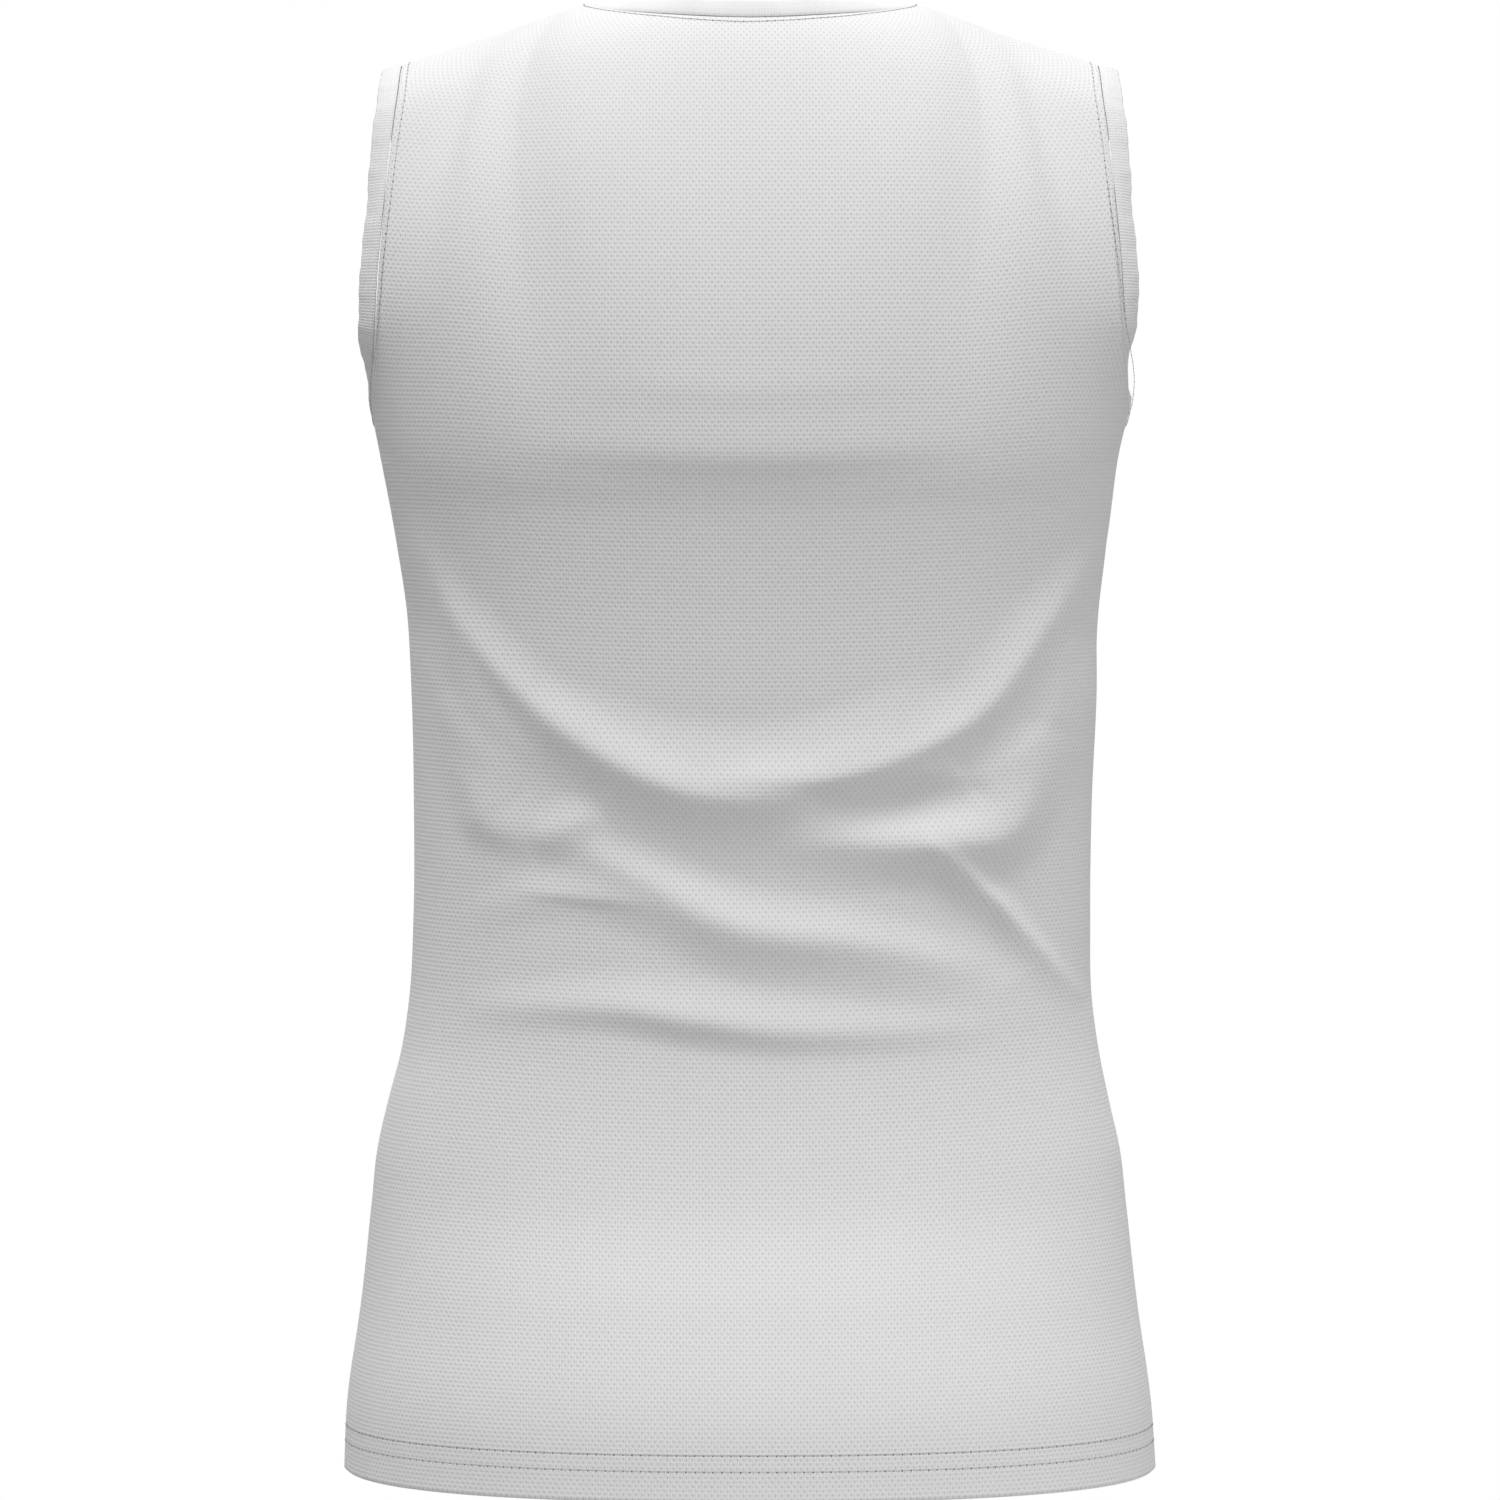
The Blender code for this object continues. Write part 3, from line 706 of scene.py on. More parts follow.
@dataclass
class Panel:
    """A front or back panel: a thin shell of mesh knit, hemmed below and bound at its edges."""

    side: Side
    node: str
    flat_size: tuple  # width and length of the cloth that it is cut from
    flat_area: float
    neck_columns: int
    shoulder_columns: int
    level_runs: tuple  # (height, rows up to there from the level before)
    yoke_rows: int
    cloth: float = 0.0011
    hem_cloth: float = 0.0020
    hem_depth: float = 0.0190
    seam_gap: float = 0.0001  # between the two panels
    edge_steps: tuple = (0.0140, 0.0080, 0.0040, 0.0015)  # shares of a half row beside a seam
    top_steps: tuple = (0.0160, 0.0090, 0.0045, 0.0018)
    hem_steps: tuple = (0.0003, 0.0008, 0.0016)
    edge_roll: float = 0.0005  # how far the cloth turns down into a seam
    edge_roll_width: float = 0.0014
    hem_roll: float = 0.0008
    hem_roll_height: float = 0.0010
    hem_step: float = 0.0012  # over how much the cloth thins above the hem
    body_rows: int = field(init=False, repr=False)  # rows below the underarm
    shoulder_count: int = field(init=False, repr=False)  # columns of the outer half
    cloth_uv: np.ndarray = field(init=False, repr=False)
    edge_distance: np.ndarray = field(init=False, repr=False)
    face: np.ndarray = field(init=False, repr=False)
    normals: np.ndarray = field(init=False, repr=False)

    def shares(self) -> np.ndarray:
        """The columns of the outer half, from the neck point's column to the armhole's."""
        even = np.linspace(0, 1 - self.edge_steps[0] * 2, self.shoulder_columns + 1)[1:]
        return np.concatenate([even, 1 - np.array(self.edge_steps), [1.0]])

    def heights(self) -> list:
        """Spaces the rows below the underarm, closer where the cloth folds.

        Returns:
            Their heights on the side seam, from the hem up.
        """
        heights = [FORM.hem_height]
        heights += [FORM.hem_height + step for step in self.hem_steps]
        for height, count in self.level_runs:
            heights.extend(np.linspace(heights[-1], height, count + 1)[1:])
        return heights[:-1]

    def half(self, hand: float) -> np.ndarray:
        """Builds one half of the smooth face.

        Args:
            hand: 1 for the wearer's left half, -1 for the right.

        Returns:
            Rows from the hem up, each from the middle out.
        """
        outer = self.shares()
        columns = self.neck_columns + self.shoulder_columns
        neck_share = self.neck_columns / columns
        shares = np.concatenate([
            np.linspace(0, neck_share, self.neck_columns + 1),
            neck_share + outer * (1 - neck_share),
        ])
        body = [FORM.body(FORM.row_heights(height, shares), shares, hand, self.side)
                for height in self.heights()]
        even = np.linspace(0, 1 - self.top_steps[0] * 2, self.yoke_rows)
        rises = np.concatenate([even, 1 - np.array(self.top_steps), [1.0]])
        yoke = FORM.yoke(rises, self.neck_columns, outer, hand, self.side)
        self.body_rows = len(body)
        return np.concatenate([np.array(body), yoke])

    def build(self) -> bpy.types.Object:
        """Builds the panel's shell and keeps its face for what is sewn on it.

        Returns:
            The new piece.
        """
        left = self.half(1.0)
        right = self.half(-1.0)
        smooth = np.concatenate([left[:, ::-1], right[:, 1:]], axis=1)
        self.shoulder_count = len(self.shares())
        self.cloth_uv = self.lay_flat(smooth)
        self.edge_distance = self.from_edges(smooth)
        self.face = FoldPress().press(self.side, smooth, grid_normals(smooth, self.side))
        self.normals = grid_normals(self.face, self.side)
        return new_piece(self.node + "_cloth", self.shell())

    def lay_flat(self, face: np.ndarray) -> np.ndarray:
        """Unrolls the face: across from the middle column, and up from the hem.

        The knit stays level over the yoke, whose rows of points bend up to the armholes.

        Args:
            face: the smooth face.

        Returns:
            Two lengths in metres for each point.
        """
        middle = face.shape[1] // 2
        lengths = arc_lengths(face[..., :2])
        across = lengths - lengths[:, middle][:, None]
        columns = face[..., 1:].transpose(1, 0, 2)
        up = arc_lengths(columns).T
        knots = face[:, middle, 2]
        slope = np.gradient(up[:, middle], knots)[-1]
        on_middle = np.interp(face[..., 2], knots, up[:, middle])
        on_middle += slope * (face[..., 2] - knots[-1]).clip(0)
        yoke = slice(self.body_rows, None)
        up[yoke] = up[self.body_rows] + on_middle[yoke] - on_middle[self.body_rows]
        return np.stack([across, up], axis=-1)

    def from_edges(self, face: np.ndarray) -> np.ndarray:
        """Measures how far each point is from the armholes and the neckline.

        Args:
            face: the smooth face.

        Returns:
            A distance for each point, no more than FAR_FROM_EDGE.
        """
        middle = face.shape[1] // 2
        lengths = arc_lengths(face)
        sides = np.minimum(lengths, lengths[:, -1:] - lengths)
        below = face[self.body_rows, 0, 2] - face[..., 2]
        sides = np.where(below > 0, np.hypot(sides, below), sides)
        columns = arc_lengths(face.transpose(1, 0, 2)).T
        neck = columns[-1] - columns
        beside = np.abs(np.arange(face.shape[1]) - middle) > self.neck_columns
        neck[:, beside] = FAR_FROM_EDGE
        return np.minimum(np.minimum(sides, neck), FAR_FROM_EDGE)

    def rolled(self, face: np.ndarray) -> np.ndarray:
        """Turns the face down into its seams and round the hem's fold.

        Args:
            face: the outer face with its folds.

        Returns:
            The same face with soft edges, drawn back by half a gap at side and shoulder seams.
        """
        lengths = arc_lengths(face)
        sides = np.minimum(lengths, lengths[:, -1:] - lengths)
        columns = arc_lengths(face.transpose(1, 0, 2)).T
        top = columns[-1] - columns
        depth = self.edge_roll * (1 - np.minimum(sides, top) / self.edge_roll_width).clip(0) ** 2
        depth += self.hem_roll * (1 - columns / self.hem_roll_height).clip(0) ** 2
        soft = face - self.normals * depth[..., None]
        pull = unit(face[:, 1] - face[:, 0])
        soft[:self.body_rows + 1, 0] += pull[:self.body_rows + 1] * self.seam_gap / 2
        pull = unit(face[:, -2] - face[:, -1])
        soft[:self.body_rows + 1, -1] += pull[:self.body_rows + 1] * self.seam_gap / 2
        drop = unit(face[-2] - face[-1]) * self.seam_gap / 2
        count = self.shoulder_count
        soft[-1, :count] += drop[:count]
        soft[-1, -count:] += drop[-count:]
        return soft

    def thickness(self) -> np.ndarray:
        """Works out how thick the cloth is: double inside the hem, with a short step above it.

        Returns:
            A thickness for each point.
        """
        up = self.cloth_uv[..., 1]
        above = smoothstep((up - self.hem_depth) / self.hem_step)
        wall = self.hem_cloth + (self.cloth - self.hem_cloth) * above
        return wall - (self.hem_cloth - self.cloth) * (1 - up / self.hem_roll_height).clip(0)

    def shell(self) -> bpy.types.Mesh:
        """Closes the outer and inner faces into one thin shell.

        Returns:
            Its mesh, with the cloth's UV map and the distance from its edges.
        """
        rows, columns = self.face.shape[:2]
        outer = self.rolled(self.face)
        inner = outer - self.normals * self.thickness()[..., None]
        points = np.concatenate([outer.reshape(-1, 3), inner.reshape(-1, 3)])
        number = np.arange(rows * columns).reshape(rows, columns)
        inside = number + rows * columns
        walls = np.concatenate([quads_between(number[k], number[k + 1]) for k in range(rows - 1)])
        faces = np.concatenate([
            walls,
            walls[:, ::-1] + rows * columns,
            quads_between(inside[0], number[0]),
            quads_between(number[-1], inside[-1]),
            quads_between(number[:, 0], inside[:, 0]),
            quads_between(inside[:, -1], number[:, -1]),
        ])
        if self.side is Side.FRONT:
            faces = faces[:, ::-1]
        place = np.concatenate([self.cloth_uv.reshape(-1, 2)] * 2)
        mesh = grid_mesh(self.node, points, faces, place[faces.ravel()])
        layer = mesh.attributes.new(EDGE_LAYER, "FLOAT", "POINT")
        distance = self.edge_distance.ravel().astype(np.float32)
        layer.data.foreach_set("value", np.concatenate([distance, distance]))
        return mesh

    def dress(self, piece: bpy.types.Object, finish: bpy.types.Material) -> None:
        """Gives the panel its cloth, hangs it on the body and hides its solid.

        Args:
            piece: the panel's piece.
            finish: its material.
        """
        piece.data.materials.append(finish)
        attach(piece, BODY)
        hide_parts(self.node)

    def hem_line(self, up: float) -> tuple:
        """Follows the cloth at one distance above the hem.

        Args:
            up: that distance.

        Returns:
            Points across the panel, and their normals.
        """
        height = self.cloth_uv[..., 1]
        points = np.empty((self.face.shape[1], 3))
        normals = np.empty_like(points)
        for column in range(self.face.shape[1]):
            for axis in range(3):
                points[column, axis] = np.interp(up, height[:, column], self.face[:, column, axis])
                normals[column, axis] = np.interp(up, height[:, column], self.normals[:, column, axis])
        return points, unit(normals)

    def armhole_run(self, column: int) -> tuple:
        """The armhole's half of one side edge, from the underarm up, and its normals."""
        return self.face[self.body_rows:, column], self.normals[self.body_rows:, column]

    def neck_run(self) -> tuple:
        """The neckline from the wearer's left to right, and its normals."""
        edge = slice(self.shoulder_count, -self.shoulder_count)
        return self.face[-1, edge], self.normals[-1, edge]


# ---------------------------------------------------------------- bindings


@dataclass
class Seam:
    """A closed seam line round an opening, with the cloth's normals and the way into the opening."""

    points: np.ndarray
    normals: np.ndarray
    reach: np.ndarray

    def offset(self, along: float, up: float, wobble: float = 0.0) -> np.ndarray:
        """Follows the seam at a distance.

        Args:
            along: how far towards the opening; below 0 it is on the panels.
            up: how far out of the cloth.
            wobble: how unevenly it runs.

        Returns:
            A closed run of points.
        """
        uneven = waver(len(self.points), SEWN_WAVES)
        reach = (along + wobble * uneven)[:, None] * self.reach
        return self.points + reach + up * self.normals

    def turned(self, pull: np.ndarray) -> "Seam":
        """Turns what is sewn to the seam another way.

        Args:
            pull: what is added to each point's way into the opening.

        Returns:
            The seam with its new directions.
        """
        reach = unit(self.reach + pull)
        across = (self.normals * reach).sum(axis=1, keepdims=True)
        return Seam(self.points, unit(self.normals - across * reach), reach)


def seam_round(runs: list, spacing: float, inside_axes: tuple, smoothing: int) -> Seam:
    """Joins the panels' edges into one evenly spaced seam.

    Args:
        runs: the back panel's (points, normals) and the front panel's, both the same way up.
        spacing: the distance between its points.
        inside_axes: 1 for each axis that tells which side the opening is on.
        smoothing: how many times its normals are evened out.

    Returns:
        The seam.
    """
    points = np.concatenate([runs[0][0][:-1], runs[1][0][::-1][:-1]])
    normals = np.concatenate([runs[0][1][:-1], runs[1][1][::-1][:-1]])
    closed = np.concatenate([points, points[:1]])
    lengths = arc_lengths(closed)
    count = int(round(lengths[-1] / spacing))
    at = np.linspace(0, lengths[-1], count, endpoint=False)
    points = read_line(closed, lengths, at)
    normals = read_line(np.concatenate([normals, normals[:1]]), lengths, at)
    for _ in range(smoothing):
        normals = (np.roll(normals, 1, axis=0) + 2 * normals + np.roll(normals, -1, axis=0)) / 4
    normals = unit(normals)
    tangents = np.roll(points, -1, axis=0) - np.roll(points, 1, axis=0)
    reach = unit(np.cross(tangents, normals))
    inside = (points.mean(axis=0) - points) * inside_axes
    return Seam(points, normals, reach * np.sign((reach * inside).sum()))


@dataclass
class Binding:
    """A strip of knit folded over an edge: an outer layer, a round fold and an inner layer."""

    name: str
    node: str
    width: float = 0.0090
    cut_width: float = 0.0210
    proud: float = 0.0004
    fold_thickness: float = 0.0022
    cloth: float = 0.0006
    seam_gap: float = 0.0005  # between the strip and the panels
    seam_roll: float = 0.0006  # how far the outer layer turns down into the seam
    roll_start: float = 0.0003  # how far from the seam it has turned up by 0.6 of that
    roll_end: float = 0.0009  # how far from the seam it is flat
    crown: float = 0.0001  # how far the outer layer bulges
    inner_start: float = 0.0006  # how much further from the seam the inner layer ends
    fold_steps: int = 7
    uneven: float = 0.00018
    length: float = field(init=False, repr=False)

    def centre_line(self) -> np.ndarray:
        """Draws the middle of the strip's cloth in section.

        Returns:
            Points (along, up) from the seam, round the fold and back to it.
        """
        radius = (self.fold_thickness - self.cloth) / 2
        top = self.proud - self.cloth / 2
        bend = self.width - radius - self.cloth / 2
        start = self.seam_gap
        outer = [
            (start, top - self.seam_roll),
            (start + self.roll_start, top - 0.4 * self.seam_roll),
            (start + self.roll_end, top),
            (bend * 0.5, top + self.crown),
        ]
        turn = np.linspace(0, math.pi, self.fold_steps)
        fold = [(bend + radius * math.sin(a), top - radius + radius * math.cos(a)) for a in turn]
        inner = [(bend * 0.5, top - 2 * radius), (start + self.inner_start, top - 2 * radius)]
        return np.array(outer + fold + inner)

    def profile(self) -> tuple:
        """Draws the strip in section.

        Returns:
            Its closed outline as (along, up), and the distance across the strip of each point.
        """
        line = self.centre_line()
        tangent = unit(np.gradient(line, axis=0))
        side = np.column_stack([-tangent[:, 1], tangent[:, 0]]) * self.cloth / 2
        across = arc_lengths(line)
        outline = np.concatenate([line + side, (line - side)[::-1]])
        return outline, np.concatenate([across, across[::-1]])

    def build(self, seam: Seam) -> bpy.types.Object:
        """Sweeps the strip round its seam.

        Args:
            seam: the seam it is sewn to.

        Returns:
            The new piece.
        """
        outline, across = self.profile()
        count = len(seam.points)
        loop = len(outline)
        soft = waver(count, BINDING_WAVES)
        depth = (outline[:, 0] / self.width).clip(0, 1)
        along = outline[None, :, 0] + self.uneven * soft[:, None] * depth
        up = outline[None, :, 1] + self.uneven * np.roll(soft, 5)[:, None] * depth
        points = (seam.points[:, None] + along[..., None] * seam.reach[:, None]
                  + up[..., None] * seam.normals[:, None])
        lengths = arc_lengths(np.concatenate([seam.points, seam.points[:1]]))
        self.length = float(lengths[-1])
        number = np.arange(count * loop).reshape(count, loop)
        ring = np.concatenate([number, number[:1]])
        ring = np.concatenate([ring, ring[:, :1]], axis=1)
        faces = []
        places = []
        around = np.append(across, across[0])
        for k in range(count):
            quads = quads_between(ring[k], ring[k + 1])
            faces.append(quads)
            place = np.empty((loop, 4, 2))
            place[:, (0, 1), 0] = lengths[k]
            place[:, (2, 3), 0] = lengths[k + 1]
            place[:, (0, 3), 1] = around[:-1, None]
            place[:, (1, 2), 1] = around[1:, None]
            places.append(place)
        mesh = grid_mesh(self.name, points.reshape(-1, 3), np.concatenate(faces),
                         np.concatenate(places).reshape(-1, 2))
        if signed_volume(mesh) < 0:
            mesh.flip_normals()
        return new_piece(self.name, mesh)

    def dress(self, piece: bpy.types.Object, finish: bpy.types.Material) -> None:
        """Gives the binding its cloth, hangs it on the body and hides its solid.

        Args:
            piece: the binding's piece.
            finish: its material.
        """
        piece.data.materials.append(finish)
        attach(piece, BODY)
        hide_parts(self.node)


def signed_volume(mesh: bpy.types.Mesh) -> float:
    """Measures the volume that a closed mesh holds.

    Args:
        mesh: a mesh of quads.

    Returns:
        Its volume, below 0 if it is inside out.
    """
    count = len(mesh.vertices)
    points = np.empty(count * 3)
    mesh.vertices.foreach_get("co", points)
    points = points.reshape(-1, 3)
    corners = np.empty(len(mesh.loops), dtype=np.int64)
    mesh.loops.foreach_get("vertex_index", corners)
    a, b, c, d = points[corners.reshape(-1, 4)].transpose(1, 0, 2)
    return float((np.cross(a, b) * c).sum() + (np.cross(a, c) * d).sum()) / 6


# ---------------------------------------------------------------- node trees


class Wiring:
    """Adds nodes to one tree and joins their sockets."""

    def __init__(self, tree: bpy.types.NodeTree) -> None:
        """Keeps the tree."""
        self.tree = tree

    def add(self, kind: str, **settings: object) -> bpy.types.Node:
        """Adds a node.

        Args:
            kind: its type's identifier.
            **settings: values of the node's own properties.

        Returns:
            The node.
        """
        node = self.tree.nodes.new(kind)
        for name, value in settings.items():
            setattr(node, name, value)
        return node

    def feed(self, socket: bpy.types.NodeSocket, value: object) -> None:
        """Links a socket, or sets it to a plain value.

        Args:
            socket: an input.
            value: another node's output, or the value.
        """
        if isinstance(value, bpy.types.NodeSocket):
            self.tree.links.new(value, socket)
        else:
            socket.default_value = value

    def math(self, operation: str, *values: object) -> bpy.types.NodeSocket:
        """Adds a Math node.

        Args:
            operation: what it does.
            *values: sockets or numbers to feed it.

        Returns:
            Its output.
        """
        node = self.add("ShaderNodeMath", operation=operation)
        for socket, value in zip(node.inputs, values):
            self.feed(socket, value)
        return node.outputs[0]

    def ramp(self, value: object, low: float, high: float, start: float, end: float) -> bpy.types.NodeSocket:
        """Maps a value smoothly from one range to another.

        Args:
            value: the value.
            low: where the ramp starts.
            high: where it ends.
            start: what it gives at low.
            end: what it gives at high.

        Returns:
            Its output.
        """
        node = self.add("ShaderNodeMapRange", interpolation_type="SMOOTHSTEP")
        for name, number in (("Value", value), ("From Min", low), ("From Max", high),
                             ("To Min", start), ("To Max", end)):
            self.feed(node.inputs[name], number)
        return node.outputs["Result"]


def new_group(name: str, kind: str, inputs: tuple, outputs: tuple) -> tuple:
    """Makes a node group with named sockets.

    Args:
        name: the group's name.
        kind: the tree's type.
        inputs: (name, socket type, default or None) for each input.
        outputs: (name, socket type) for each output.

    Returns:
        The tree, its wiring, its input node and its output node.
    """
    tree = bpy.data.node_groups.new(name, kind)
    for label, socket_type, default in inputs:
        socket = tree.interface.new_socket(name=label, in_out="INPUT", socket_type=socket_type)
        if default is not None:
            socket.default_value = default
    for label, socket_type in outputs:
        tree.interface.new_socket(name=label, in_out="OUTPUT", socket_type=socket_type)
    wiring = Wiring(tree)
    return tree, wiring, wiring.add("NodeGroupInput"), wiring.add("NodeGroupOutput")


# ---------------------------------------------------------------- finishes

HOLE_RIM = (0.35, 1.25)  # where a knit hole starts to fade and has faded, in hole sizes


def knit_holes_group() -> bpy.types.NodeTree:
    """Staggered rows of small soft holes between fine ribs, as a mesh knit shows.

    Returns:
        A shader group that puts out a hole mask and a height.
    """
    tree, wiring, given, result = new_group(
        "knit_holes", "ShaderNodeTree",
        (("Place", "NodeSocketVector", None), ("Wale", "NodeSocketFloat", 0.0026),
         ("Course", "NodeSocketFloat", 0.0018), ("Hole Width", "NodeSocketFloat", 0.0005),
         ("Hole Height", "NodeSocketFloat", 0.0008), ("Rib", "NodeSocketFloat", 0.25)),
        (("Hole", "NodeSocketFloat"), ("Height", "NodeSocketFloat")))
    split = wiring.add("ShaderNodeSeparateXYZ")
    wiring.feed(split.inputs[0], given.outputs["Place"])
    across = wiring.math("DIVIDE", split.outputs["X"], given.outputs["Wale"])
    up = wiring.math("DIVIDE", split.outputs["Y"], given.outputs["Course"])
    shift = wiring.math("MULTIPLY", wiring.math("FLOORED_MODULO", wiring.math("FLOOR", up), 2.0), 0.5)
    from_middle = wiring.math("SUBTRACT", wiring.math("FRACT", wiring.math("ADD", across, shift)), 0.5)
    from_row = wiring.math("SUBTRACT", wiring.math("FRACT", up), 0.5)
    wide = wiring.math("DIVIDE", wiring.math("MULTIPLY", from_middle, given.outputs["Wale"]),
                       given.outputs["Hole Width"])
    tall = wiring.math("DIVIDE", wiring.math("MULTIPLY", from_row, given.outputs["Course"]),
                       given.outputs["Hole Height"])
    distance = wiring.math("SQRT", wiring.math("ADD", wiring.math("MULTIPLY", wide, wide),
                                               wiring.math("MULTIPLY", tall, tall)))
    hole = wiring.ramp(distance, *HOLE_RIM, 1.0, 0.0)
    rib = wiring.math("COSINE", wiring.math("MULTIPLY", across, 4 * math.pi))
    loops = wiring.math("COSINE", wiring.math("MULTIPLY", up, 2 * math.pi))
    relief = wiring.math("ADD", rib, wiring.math("MULTIPLY", loops, 0.5))
    raised = wiring.math("MULTIPLY_ADD", relief, given.outputs["Rib"], 1.0)
    wiring.feed(result.inputs["Hole"], hole)
    wiring.feed(result.inputs["Height"], wiring.math("SUBTRACT", raised, hole))
    return tree


def cloth_tone_group() -> bpy.types.NodeTree:
    """Slight unevenness of tone, as undyed cloth has.

    Returns:
        A shader group that puts out a factor close to 1.
    """
    tree, wiring, given, result = new_group(
        "cloth_tone", "ShaderNodeTree",
        (("Place", "NodeSocketVector", None), ("Patch", "NodeSocketFloat", 30.0),
         ("Yarn", "NodeSocketFloat", 900.0), ("Amount", "NodeSocketFloat", 0.02)),
        (("Tone", "NodeSocketFloat"),))
    patches = wiring.add("ShaderNodeTexNoise", noise_dimensions="3D")
    wiring.feed(patches.inputs["Vector"], given.outputs["Place"])
    wiring.feed(patches.inputs["Scale"], given.outputs["Patch"])
    yarns = wiring.add("ShaderNodeTexNoise", noise_dimensions="3D")
    wiring.feed(yarns.inputs["Vector"], given.outputs["Place"])
    wiring.feed(yarns.inputs["Scale"], given.outputs["Yarn"])
    both = wiring.math("ADD", patches.outputs["Fac"], yarns.outputs["Fac"])
    centred = wiring.math("SUBTRACT", both, 1.0)
    tone = wiring.math("MULTIPLY_ADD", centred, given.outputs["Amount"], 1.0)
    wiring.feed(result.inputs["Tone"], tone)
    return tree


def sewn_line_group() -> bpy.types.NodeTree:
    """The shallow groove that a row of stitches pulls into cloth.

    Returns:
        A shader group that puts out 1 along the row and 0 beside it.
    """
    tree, wiring, given, result = new_group(
        "sewn_line", "ShaderNodeTree",
        (("Distance", "NodeSocketFloat", 0.0), ("Place", "NodeSocketFloat", 0.003),
         ("Width", "NodeSocketFloat", 0.0006)),
        (("Line", "NodeSocketFloat"),))
    away = wiring.math("ABSOLUTE", wiring.math("SUBTRACT", given.outputs["Distance"],
                                               given.outputs["Place"]))
    share = wiring.math("DIVIDE", away, given.outputs["Width"])
    wiring.feed(result.inputs["Line"], wiring.ramp(share, 0.0, 1.0, 1.0, 0.0))
    return tree


@dataclass(frozen=True)
class ShaderGroups:
    """The effects that more than one finish uses."""

    knit_holes: bpy.types.NodeTree
    cloth_tone: bpy.types.NodeTree
    sewn_line: bpy.types.NodeTree

    @classmethod
    def build(cls) -> "ShaderGroups":
        """Builds each group once."""
        return cls(knit_holes_group(), cloth_tone_group(), sewn_line_group())


class Surface:
    """One material while its nodes are being wired."""

    def __init__(self, name: str, groups: ShaderGroups) -> None:
        """Makes an empty material with its Principled shader.

        Args:
            name: the material's name.
            groups: the shared effects.
        """
        self.material = bpy.data.materials.new(name)
        self.material.use_nodes = True
        self.groups = groups
        self.wiring = Wiring(self.material.node_tree)
        self.shader = self.material.node_tree.nodes["Principled BSDF"]
        self.place = self.wiring.add("ShaderNodeTexCoord")

    def effect(self, tree: bpy.types.NodeTree, **values: object) -> bpy.types.Node:
        """Places a shared effect.

        Args:
            tree: the shader group.
            **values: its inputs, with _ for a space.

        Returns:
            The group's node.
        """
        node = self.wiring.add("ShaderNodeGroup", node_tree=tree)
        for name, value in values.items():
            self.wiring.feed(node.inputs[name.replace("_", " ")], value)
        return node

    def attribute(self, name: str) -> bpy.types.NodeSocket:
        """Reads one number of the piece's own."""
        return self.wiring.add("ShaderNodeAttribute", attribute_name=name).outputs["Fac"]

    def colour(self, base: tuple, factors: list) -> None:
        """Feeds the base colour, darkened or lightened by each factor.

        Args:
            base: the colour in linear light.
            factors: sockets that hold numbers close to 1.
        """
        total = factors[0]
        for factor in factors[1:]:
            total = self.wiring.math("MULTIPLY", total, factor)
        channels = self.wiring.add("ShaderNodeCombineColor")
        for socket, value in zip(channels.inputs, base):
            self.wiring.feed(socket, self.wiring.math("MULTIPLY", total, value))
        self.wiring.feed(self.shader.inputs["Base Color"], channels.outputs["Color"])

    def relief(self, height: object, distance: float, strength: float) -> None:
        """Feeds the normal with a bump.

        Args:
            height: the height, where 1 is the full distance.
            distance: that distance in metres.
            strength: how much of it shows.
        """
        bump = self.wiring.add("ShaderNodeBump")
        bump.inputs["Distance"].default_value = distance
        bump.inputs["Strength"].default_value = strength
        self.wiring.feed(bump.inputs["Height"], height)
        self.wiring.feed(self.shader.inputs["Normal"], bump.outputs["Normal"])

    def plain(self, **values: float) -> bpy.types.Material:
        """Sets the shader's own numbers.

        Args:
            **values: its inputs, with _ for a space.

        Returns:
            The finished material.
        """
        for name, value in values.items():
            self.shader.inputs[name.replace("_", " ")].default_value = value
        return self.material


